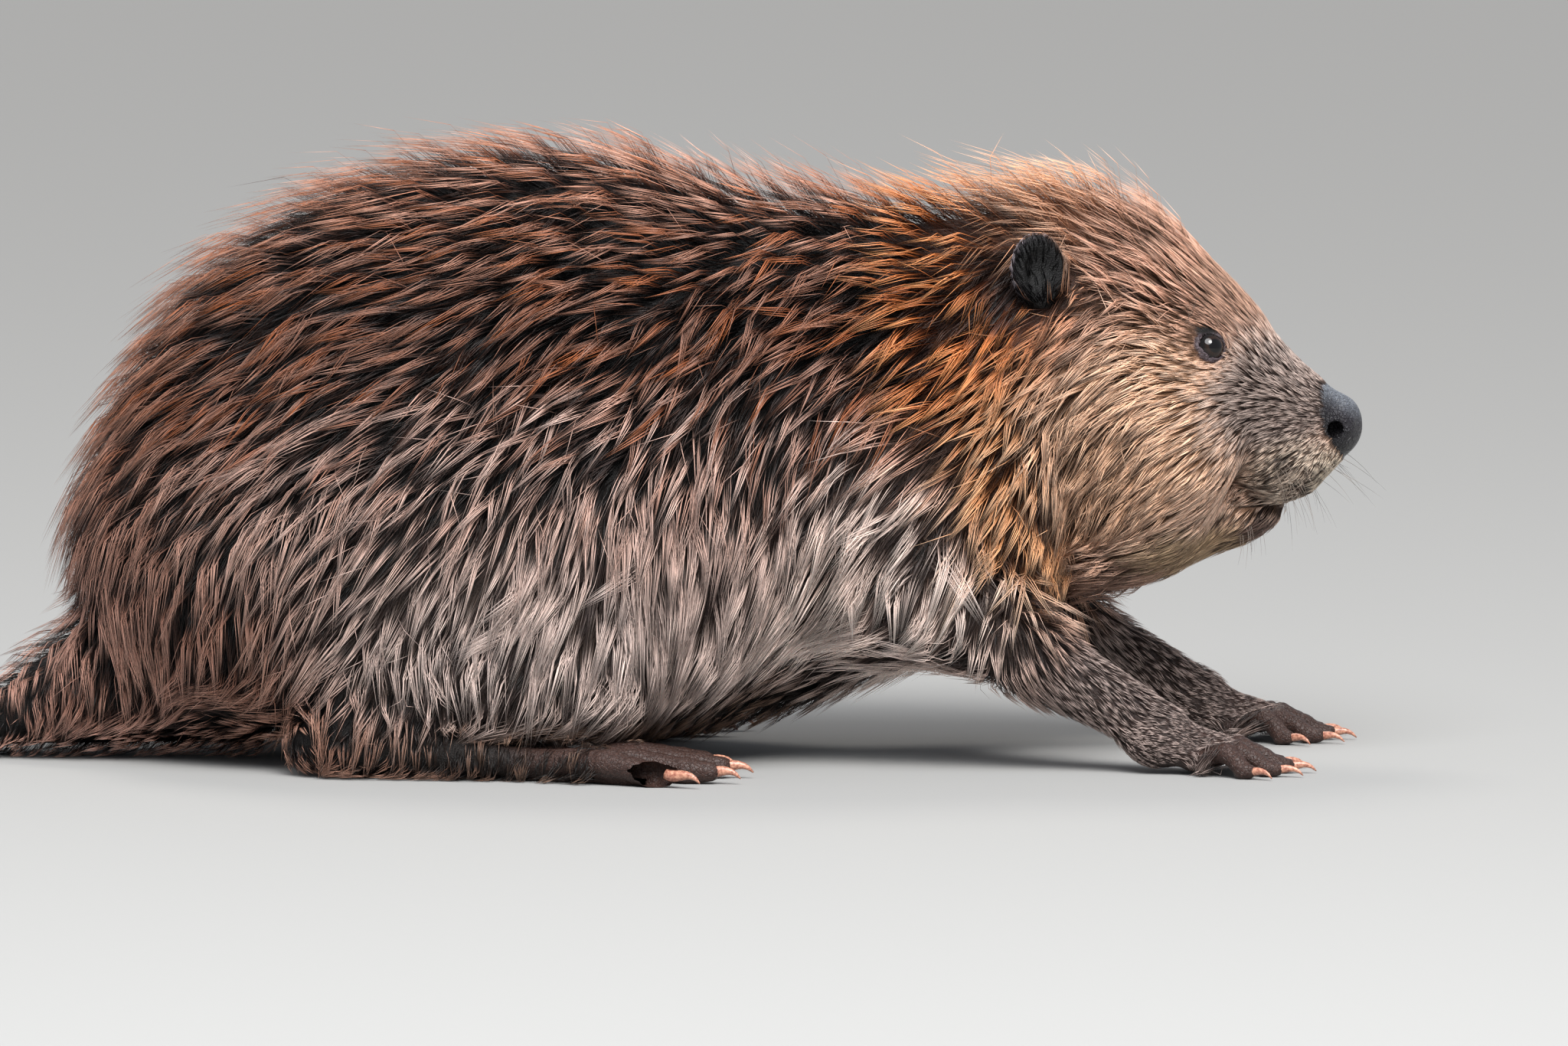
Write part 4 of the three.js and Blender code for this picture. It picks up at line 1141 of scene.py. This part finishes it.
def coatRegions(roots, away, onLimb):  # which locks go into which piece
    x, y, _ = roots.T
    onEar = earShare(roots) > 0.5
    free = ~onEar & ~onLimb
    onHead, onMuzzle = free & (x > coat["headFrom"]), away < coat["muzzleReach"]
    regions = {
        "coatEars": onEar,
        "coatMuzzle": onHead & onMuzzle,
        "coatFaceRight": onHead & ~onMuzzle & (y < 0),
        "coatFaceLeft": onHead & ~onMuzzle & (y >= 0),
        "coatLimbs": onLimb,
    }
    for name, (low, high) in bodyParts.items():
        for label, onSide in (("Right", y < 0), ("Left", y >= 0)):
            regions[f"coat{name}{label}"] = free & (x >= low) & (x < high) & onSide
    return regions


def buildCoat():
    roots, normals = scatterRoots()
    keep = ~furless(roots)
    roots, normals = roots[keep], normals[keep]
    length, spacing, width, strands = hairAt(roots)
    x, _, z = roots.T
    count = len(roots)
    away = distanceTo(roots, noseTip)
    onBody = smooth(away, 60, 130)
    onBroad = broadShare(x, z)
    upward = smooth(normals[:, 2], 0.35, 0.9)

    def lifts(name):
        return rng.uniform(*coat["lift"][name], count)

    # lone hairs, the turn of each lock out of the lie, and the lower locks
    stray = rng.random(count) < coat["strayShare"] * (0.25 + 0.75 * onBody)
    turn = np.radians(waves(roots, 70, 3) * coat["swirl"] + rng.normal(0, coat["turn"], count))
    turn = turn * (0.3 + 0.7 * smooth(away, 70, 120)) * (1 - 0.55 * onBroad)
    turn = turn + stray * np.radians(rng.normal(0, 24, count))
    stray &= rng.random(count) > 0.85 * onBroad
    stray |= rng.random(count) < 0.25 * upward * onBody
    onLimb = np.max([limb["share"](roots) for limb in limbs], axis=0)
    onBody = onBody * (1 - 0.8 * onLimb)
    under = (rng.random(count) < coat["underShare"] * (0.3 + 0.7 * onBody) * (1 - 0.5 * onBroad)) & ~stray
    lift = np.where(under, lifts("under"), lifts("upper")) + stray * 0.1

    # light and dark locks: the lower locks are darkened as painted shade deep in the coat, partly for the
    # darker underfur; dark flecks on the whisker pad
    shade = np.where(under, -0.6 + 0.42 * smooth(x, 98, 130), 0.12) * (0.3 + 0.7 * onBody)
    shade = shade + rng.normal(0.12, 0.12, count) * (1 - onBody) * (1 - onLimb)
    shade = shade + inZone(roots, "pad", 0.6) * (0.45 * waves(roots * (1, 0, 1), 7, 9) - 0.1)

    # locks stand up on the back, on the crown, behind and at the throat
    raised = np.where(under, 0.3, 1.0)  # the lower locks stay down and close the coat under the raised ones
    crest = upward * smooth(z, 160, 215) * smooth(away, 60, 120)
    lift = lift + raised * crest * np.where(stray, lifts("crestStray"), lifts("crest"))
    crown = inZone(roots, "crown")
    lift = lift + raised * crown * lifts("crown") * smooth(normals[:, 2], 0.3, 0.8)
    behind = smooth(-normals[:, 0], 0.45, 0.9) * smooth(z, 70, 110) * smooth(-x, 150, 220)
    lift = lift + behind * lifts("behind")
    throat = inZone(roots, "throat")
    lift = lift + throat * lifts("throat")

    # locks that would lie over the ear are short and thin
    length = length * (1 + 0.25 * throat) * rng.uniform(0.8, 1.15, count)
    ends = onLeft(roots) + lieOf(roots, normals) * (1, 0, 1) * length[:, None]
    reachesEar = (distanceTo(ends, ear["at"]) < 17) & (earShare(roots) < 0.4)
    length = length * np.where(reachesEar, 0.45, 1)
    thin = np.where(under | reachesEar, 0.7, 1)
    strands = strands * rng.uniform(0.8, 1.2, count) * thin * (1 - 0.4 * crown)
    strands = np.where(stray, 1, np.maximum(np.round(strands), 2)).astype(int)

    path, ups = growLocks(roots, normals, length, turn, lift)
    first, last = path[:, 1] - path[:, 0], path[:, -1] - path[:, -2]
    lengths = np.linalg.norm(first, axis=1) * np.linalg.norm(last, axis=1)
    cosine = (first * last).sum(1) / np.maximum(lengths, 1e-6)
    bent = (cosine < 0.45) & (x > -20)  # a lock that would fold into the crease of the arm is cut short
    length[bent] *= 0.6
    path[bent], ups[bent] = growLocks(roots[bent], normals[bent], length[bent], turn[bent], lift[bent])
    over = np.maximum(path[:, -1, 2] - coat["top"], 0)
    path[:, :, 2] -= over[:, None] * np.linspace(0, 1, path.shape[1]) ** 2
    print("locks:", count, "strands:", int(strands.sum()), "locks cut short at the arms:", int(bent.sum()))

    copper = smooth(z, 70, 170) * onBody * (1 - earShare(roots)) * (1 - 0.6 * smooth(x, 70, 110))
    hair = {"width": width, "strands": strands, "radius": spacing * 0.85, "shade": shade, "copper": copper}
    places = bodyUnwrap(roots)
    for name, own in coatRegions(roots, away, onLimb > 0.5).items():
        finish, slotName = (earHair, "ear_fur") if name == "coatEars" else (guardHair, "coat")
        coatPiece(name, path, ups, np.flatnonzero(own), places, hair, finish, slotName)


buildCoat()
print("coat grown")

# Eyes


def ringFaces(rings, corners):  # quads between rings of points, and fans to the two end points after them
    steps = [(j, (j + 1) % corners) for j in range(corners)]
    starts = range(0, (rings - 1) * corners, corners)
    quads = np.array([[r + j, r + k, r + corners + k, r + corners + j] for r in starts for j, k in steps])
    first, top = rings * corners, (rings - 1) * corners
    ends = np.array([[first, k, j] for j, k in steps] + [[first + 1, top + j, top + k] for j, k in steps])
    return [quads, ends]


def buildEyes():
    finish = Finish("wetEye", Roughness=0.07, Specular_IOR_Level=0.45)
    away = finish.attribute("fromPupil", 2)
    iris = away.between(0.55, 0.9).mix(linear("#21140d"), linear("#0a0605"))
    finish.set(Base_Color=away.between(0.42, 0.55).mix(linear("#050405"), iris))
    tiers, corners = 24, 36  # from pole to pole, and round
    polar = np.repeat(math.pi * np.arange(1, tiers) / tiers, corners)
    around = np.tile(2 * math.pi * np.arange(corners) / corners, tiers - 1)
    ball = np.column_stack([np.sin(polar) * np.cos(around), np.sin(polar) * np.sin(around), -np.cos(polar)])
    ball = np.concatenate([ball, [[0, 0, -1], [0, 0, 1]]])
    faces = ringFaces(tiers - 1, corners)
    for name, side in sides.items():
        points = ball * eye["radius"] + np.array(eye["at"]) * (1, side, 1)
        piece = meshPiece(f"eyeball_{name}", points, faces, finish, "eye", f"eye_{name}")
        outward = ball @ (eyeOut * (1, side, 1))
        addAttribute(piece, "fromPupil", np.arccos(np.clip(outward, -1, 1)))


buildEyes()
print("eyes set")

# Whiskers: fans of long fine hairs on the whisker pads, the brow and the chin, each a curved tube

whiskers = {
    "pad": {"at": (216, 124), "spread": (9, 7), "count": 16, "length": (24, 46), "way": (0.5, 0.8, -0.5)},
    "snout": {"at": (232, 130), "spread": (5, 6), "count": 6, "length": (20, 40), "way": (0.85, 0.5, -0.4)},
    "brow": {"at": (176, 193), "spread": (3, 3), "count": 3, "length": (22, 34), "way": (0.15, 0.5, 0.85)},
    "chin": {"at": (200, 100), "spread": (9, 4), "count": 8, "length": (10, 20), "way": (0.2, 0.3, -0.95)},
}
whiskerRadius = 0.12


def newTree(name, **inputs):  # gives what adds a node, the tree's inputs, and what closes the tree
    tree = bpy.data.node_groups.new(name, "GeometryNodeTree")
    for socketName, kind in {"Geometry": "Geometry", **inputs, "Material": "Material"}.items():
        tree.interface.new_socket(socketName, in_out="INPUT", socket_type="NodeSocket" + kind)
    tree.interface.new_socket("Geometry", in_out="OUTPUT", socket_type="NodeSocketGeometry")

    def add(kind, settings=None, **values):
        made = tree.nodes.new(kind)
        for key, value in (settings or {}).items():
            setattr(made, key, value)
        for key, value in values.items():
            socket = made.inputs[key.replace("_", " ")]
            if isinstance(value, bpy.types.NodeSocket):
                tree.links.new(value, socket)
            else:
                socket.default_value = value
        return made.outputs

    def close(geometry):
        whole = add("GeometryNodeRealizeInstances", Geometry=geometry)["Geometry"]
        painted = add("GeometryNodeSetMaterial", Geometry=whole, Material=source["Material"])["Geometry"]
        add("NodeGroupOutput", Geometry=painted)
        return tree

    source = add("NodeGroupInput")
    return add, source, close


def whiskerTree():  # each line becomes a four-sided tube that tapers to its tip
    add, source, close = newTree("whiskers", Radius="Float")
    lines = add("GeometryNodeMeshToCurve", Mesh=source["Geometry"])["Curve"]
    along = add("GeometryNodeSplineParameter")["Factor"]
    taper = add("ShaderNodeMapRange", Value=along, To_Min=1.0, To_Max=0.12)["Result"]
    circle = add("GeometryNodeCurvePrimitiveCircle", Resolution=4, Radius=source["Radius"])["Curve"]
    tubes = add("GeometryNodeCurveToMesh", Curve=lines, Profile_Curve=circle, Scale=taper, Fill_Caps=True)
    return close(add("GeometryNodeSetShadeSmooth", Geometry=tubes["Mesh"])["Geometry"])


def growByNodes(name, mesh, tree, **inputs):  # the tree's result as a plain mesh
    holder = bpy.data.objects.new(name, mesh)
    bpy.context.collection.objects.link(holder)
    modifier = holder.modifiers.new(name, "NODES")
    modifier.node_group = tree
    for item in tree.interface.items_tree:
        if item.in_out == "INPUT" and item.name in inputs:
            modifier[item.identifier] = inputs[item.name]
    graph = bpy.context.evaluated_depsgraph_get()
    made = bpy.data.meshes.new_from_object(holder.evaluated_get(graph), depsgraph=graph)
    holder.modifiers.remove(modifier)
    holder.data = made
    bpy.data.meshes.remove(mesh)
    return holder


def buildWhiskers():
    spread = np.random.default_rng(5)
    points, edges = [], []
    for patch in whiskers.values():
        for side in sides.values():
            for _ in range(patch["count"]):
                x, z = spread.normal(patch["at"], np.array(patch["spread"]) / 2)
                root, normal = settle(np.array([[x, sideAt(x, z) * side, z]]), 3, 6)
                way = unit(np.array(patch["way"]) * (1, side, 1)) + spread.normal(0, 0.16, 3)
                way = unit(unit(way) + normal[0] * 0.2)
                length = spread.uniform(*patch["length"])
                droop = spread.uniform(0.05, 0.25)
                first = len(points)
                for t in np.linspace(-0.05, 1, 8):
                    points.append(root[0] + way * length * t + np.array((-0.1, 0, -droop)) * length * t * t)
                edges += [(first + i, first + i + 1) for i in range(7)]
    mesh = bpy.data.meshes.new("whiskerLines")
    mesh.from_pydata(place(points), edges, [])
    finish = Finish("whiskerHair", Roughness=0.35)
    finish.set(Base_Color=finish.noise(60, 2).between(0.4, 0.6).mix(linear("#1c1714"), linear("#7b6e64")))
    piece = growByNodes("whiskers", mesh, whiskerTree(), Radius=whiskerRadius * mm, Material=finish.material)
    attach(piece, "root")


buildWhiskers()
print("whiskers set")

# Claws


def tube(path, radii, corners=8):  # a closed tube, each ring with a half width and a half height
    path = np.asarray(path, float)
    rings = []
    for i, (point, (wide, tall)) in enumerate(zip(path, radii)):
        ahead = unit(path[min(i + 1, len(path) - 1)] - path[max(i - 1, 0)])
        across = np.cross((0, 0, 1), ahead)
        across = unit(across) if np.linalg.norm(across) > 1e-3 else np.array([0, 1, 0])
        up = np.cross(ahead, across)
        angles = np.arange(corners) * 2 * math.pi / corners
        rings.append(point + np.outer(np.cos(angles) * wide, across) + np.outer(np.sin(angles) * tall, up))
    return np.concatenate([*rings, [path[0]], [path[-1]]]), ringFaces(len(path), corners)


def joined(parts):  # several meshes as one
    starts = np.cumsum([0] + [len(points) for points, _ in parts])
    faces = [np.concatenate([own[k] + start for (_, own), start in zip(parts, starts)]) for k in (0, 1)]
    return np.concatenate([points for points, _ in parts]), faces


def buildClaws():
    finish = Finish("horn", Roughness=0.32)
    grain = finish.noise(900, 3)
    finish.set(Base_Color=grain.between(0.3, 0.7).mix(linear("#8a5344"), linear("#c8937a")))
    shares = np.linspace(-0.25, 1, 9)  # of the claw's length, from inside the toe to its tip
    taper = np.interp(shares, (-0.25, 0, 0.4, 0.8, 1), (0.9, 1, 0.85, 0.45, 0.12))
    for kindName, nodeName, spots in (("forepaw", "foreclaw", palms), ("hindFoot", "hind_claw", soles)):
        kind = digits[kindName]
        for side, spot in spots.items():
            claws = []
            for i in range(5):
                path, ahead = digitPath(kind, spot, sides[side], i)
                tip = path[-1]
                line = [[*(tip[:2] + ahead * (kind["claw"] * t + cutGap)),
                         tip[2] + kind["claw"] * t * t * (0.55 - 0.75 * t)] for t in shares]
                radii = [kind["clawRadius"] * share for share in taper]
                claws.append(tube(line, [(radius * 0.8, radius) for radius in radii]))
            points, faces = joined(claws)
            replaced = [f"{nodeName}_{side}_{i + 1}" for i in range(5)]
            meshPiece(f"claws_{nodeName}_{side}", points, faces, finish, "claw_horn", *replaced)


buildClaws()
print("claws set")

# Tail paddle

tailScales = {
    "row": 5.4, "across": 4.3,  # from scale to scale
    "length": 6.6, "width": 4.9, "height": 1.1,
    "from": 0.13, "to": 0.975,  # shares of the tail's length
}


def tailPoints(t, angles):  # a ring round the tail at a share of its length
    spread = smooth(np.array(t), 0, 0.42)
    roundEnd = math.sqrt(max(1 - max((t - 0.45) / 0.55, 0) ** 2.6, 0.01))
    halfWidth = (tail["rootWidth"] + (tail["halfWidth"] - tail["rootWidth"]) * spread) * roundEnd
    flatten = min(t * 2.2, 1)
    halfHeight = (tail["rootHeight"] + (tail["height"] - tail["rootHeight"]) * flatten) / 2
    thickness = (halfHeight + (tail["rimHeight"] - halfHeight) * t * t) * (1 - 0.3 * t)
    middle = (tail["rootHeight"] / 2 - 1) * (1 - flatten) + (tail["height"] / 2 - tail["sink"]) * flatten
    rim = min(tail["rimHeight"] / 2, thickness)
    rise = thickness + (rim - thickness) * np.abs(np.cos(angles)) ** 1.6
    x = tail["front"] + (tail["back"] - tail["front"]) * t
    y, z = -halfWidth * np.cos(angles), middle + rise * np.sin(angles)
    return np.column_stack([np.full(len(angles), x), y, np.maximum(z, 0)])


def scaleTree():  # a low six-sided plate stands on each point, turned to the skin and the tip of the tail
    add, source, close = newTree("tailScales", Length="Float", Width="Float", Height="Float")

    def named(name, kind="FLOAT_VECTOR"):
        return add("GeometryNodeInputNamedAttribute", {"data_type": kind}, Name=name)["Attribute"]

    plate = add("GeometryNodeMeshCone", {"fill_type": "NGON"}, Vertices=6, Radius_Top=0.66,
                Radius_Bottom=1.0, Depth=1.0)["Mesh"]
    upright = add("FunctionNodeAlignRotationToVector", {"axis": "Z"}, Vector=named("outward"))["Rotation"]
    turn = add("FunctionNodeAlignRotationToVector", {"axis": "X", "pivot_axis": "Z"},
               Rotation=upright, Vector=named("backward"))["Rotation"]
    sizes = add("ShaderNodeCombineXYZ", X=source["Length"], Y=source["Width"], Z=source["Height"])["Vector"]
    scaled = add("ShaderNodeVectorMath", {"operation": "SCALE"}, Vector=sizes,
                 Scale=named("size", "FLOAT"))["Vector"]
    return close(add("GeometryNodeInstanceOnPoints", Points=source["Geometry"], Instance=plate,
                     Rotation=turn, Scale=scaled)["Instances"])


def buildScales():
    spread = np.random.default_rng(8)
    places, outward, backward, sizes = [], [], [], []
    long = abs(tail["back"] - tail["front"])
    rows = int(long * (tailScales["to"] - tailScales["from"]) / tailScales["row"])
    for row in range(rows + 1):
        t = tailScales["from"] + (tailScales["to"] - tailScales["from"]) * row / rows
        half = abs(tailPoints(t, np.array([0.0]))[0, 1])
        count = max(int(2 * half / tailScales["across"]), 2)
        share = (np.arange(count) + (0.75 if row % 2 else 0.25)) / count * 2 - 1
        angles = np.arccos(np.clip(-share + spread.normal(0, 0.006, count), -0.985, 0.985))
        here, beside = tailPoints(t, angles), tailPoints(t, angles + 0.02)
        along = tailPoints(t + 0.01, angles) - here
        up = np.cross(beside - here, along)
        up *= np.sign(up[:, 2:]) / np.linalg.norm(up, axis=1, keepdims=True)
        places.append(here + up * 0.15)
        outward.append(up)
        backward.append(along / np.linalg.norm(along, axis=1, keepdims=True))
        sizes.append(spread.uniform(0.88, 1.06, count) * (0.8 + 0.2 * math.sin(min(t * 1.1, 1) * math.pi)))
    mesh = bpy.data.meshes.new("scalePlaces")
    mesh.from_pydata(place(np.concatenate(places)), [], [])
    for name, values in {"outward": outward, "backward": backward}.items():
        layer = mesh.attributes.new(name, "FLOAT_VECTOR", "POINT")
        layer.data.foreach_set("vector", np.concatenate(values).astype(np.float32).ravel())
    layer = mesh.attributes.new("size", "FLOAT", "POINT")
    layer.data.foreach_set("value", np.concatenate(sizes).astype(np.float32))
    finish = Finish("tailScale", Roughness=0.46)
    tone = finish.noise(90, 3).between(0.3, 0.7).mix(linear("#3b3533"), linear("#5d5350"))
    grain = finish.noise(900, 2).between(0.3, 0.7).mix((0.75, 0.75, 0.75), (1.15, 1.15, 1.15))
    finish.set(Base_Color=tone.tint(grain))
    piece = growByNodes("tailScales", mesh, scaleTree(), Length=tailScales["length"] / 2 * mm,
                        Width=tailScales["width"] / 2 * mm, Height=tailScales["height"] * mm,
                        Material=finish.material)
    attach(piece, "root")


def buildTail():
    finish = Finish("tailSkin", Roughness=0.5)
    finish.set(Base_Color=finish.noise(300, 3).between(0.3, 0.7).mix(linear("#191716"), linear("#2f2b2a")))
    finish.bump(finish.cracks(185, 0.14), 0.7, 0.0012)
    corners, steps = 64, 60
    rings = []
    for step in range(steps + 1):
        s = step / steps
        t = 1.5 * s - 0.5 * s ** 3  # rings close up toward the tip
        ring = tailPoints(t, np.arange(corners) * 2 * math.pi / corners)
        ring[:, 1:] = (ring[:, 1:] - (0, 9)) * (0.72 + 0.28 * smooth(np.array(t), 0, 0.05)) + (0, 9)
        rings.append(ring)
    points = np.concatenate([*rings, [rings[0].mean(0)], [rings[-1].mean(0)]])
    meshPiece("tailPaddle", points, ringFaces(len(rings), corners), finish, "tail_scale", "tail")


buildTail()
buildScales()
print("tail scaled")

# Floor and light

lights = {  # the lamp's size is in metres, the suns' in degrees
    "key": {"kind": "AREA", "at": (150, -1800, 2400), "strength": 138, "size": 2.6,
            "colour": (0.96, 0.98, 1)},
    "fill": {"kind": "SUN", "at": (500, -1500, 1800), "strength": 2.3, "size": 24, "colour": (1, 0.97, 0.93)},
    "rim": {"kind": "SUN", "at": (-500, 1300, 1900), "strength": 0.9, "size": 20, "colour": (1, 0.95, 0.88)},
}
lightAim = (0, 0, 120)


def addStage():
    ground = bpy.data.meshes.new("floor")
    reach = 14.0  # metres
    corners = [(-reach, -reach, 0), (reach, -reach, 0), (reach, reach, 0), (-reach, reach, 0)]
    ground.from_pydata(corners, [], [(0, 1, 2, 3)])
    floor = bpy.data.objects.new("floor", ground)
    bpy.context.collection.objects.link(floor)
    finish = Finish("paleFloor", Roughness=0.9, Base_Color=(0.3, 0.297, 0.29, 1))
    ground.materials.append(finish.material)


def addLight(name, kind, at, strength, size, colour):
    data = bpy.data.lights.new(name, kind)
    data.energy, data.color = strength, colour
    if kind == "SUN":
        data.angle = math.radians(size)
    else:
        data.shape, data.size = "DISK", size
    lamp = bpy.data.objects.new(name, data)
    lamp.location = place(at)
    lamp.rotation_euler = Vector(np.subtract(at, lightAim).tolist()).to_track_quat("Z", "Y").to_euler()
    bpy.context.collection.objects.link(lamp)


def addLights():
    world = bpy.data.worlds.new("studio")
    bpy.context.scene.world = world
    world.use_nodes = True
    background = next(n for n in world.node_tree.nodes if n.type == "BACKGROUND")
    background.inputs["Color"].default_value = (0.87, 0.92, 1.0, 1)
    background.inputs["Strength"].default_value = 0.5
    for name, light in lights.items():
        addLight(name, **light)
    bpy.context.scene.view_settings.view_transform = "Standard"


addStage()
addLights()
print("floor and lights set")
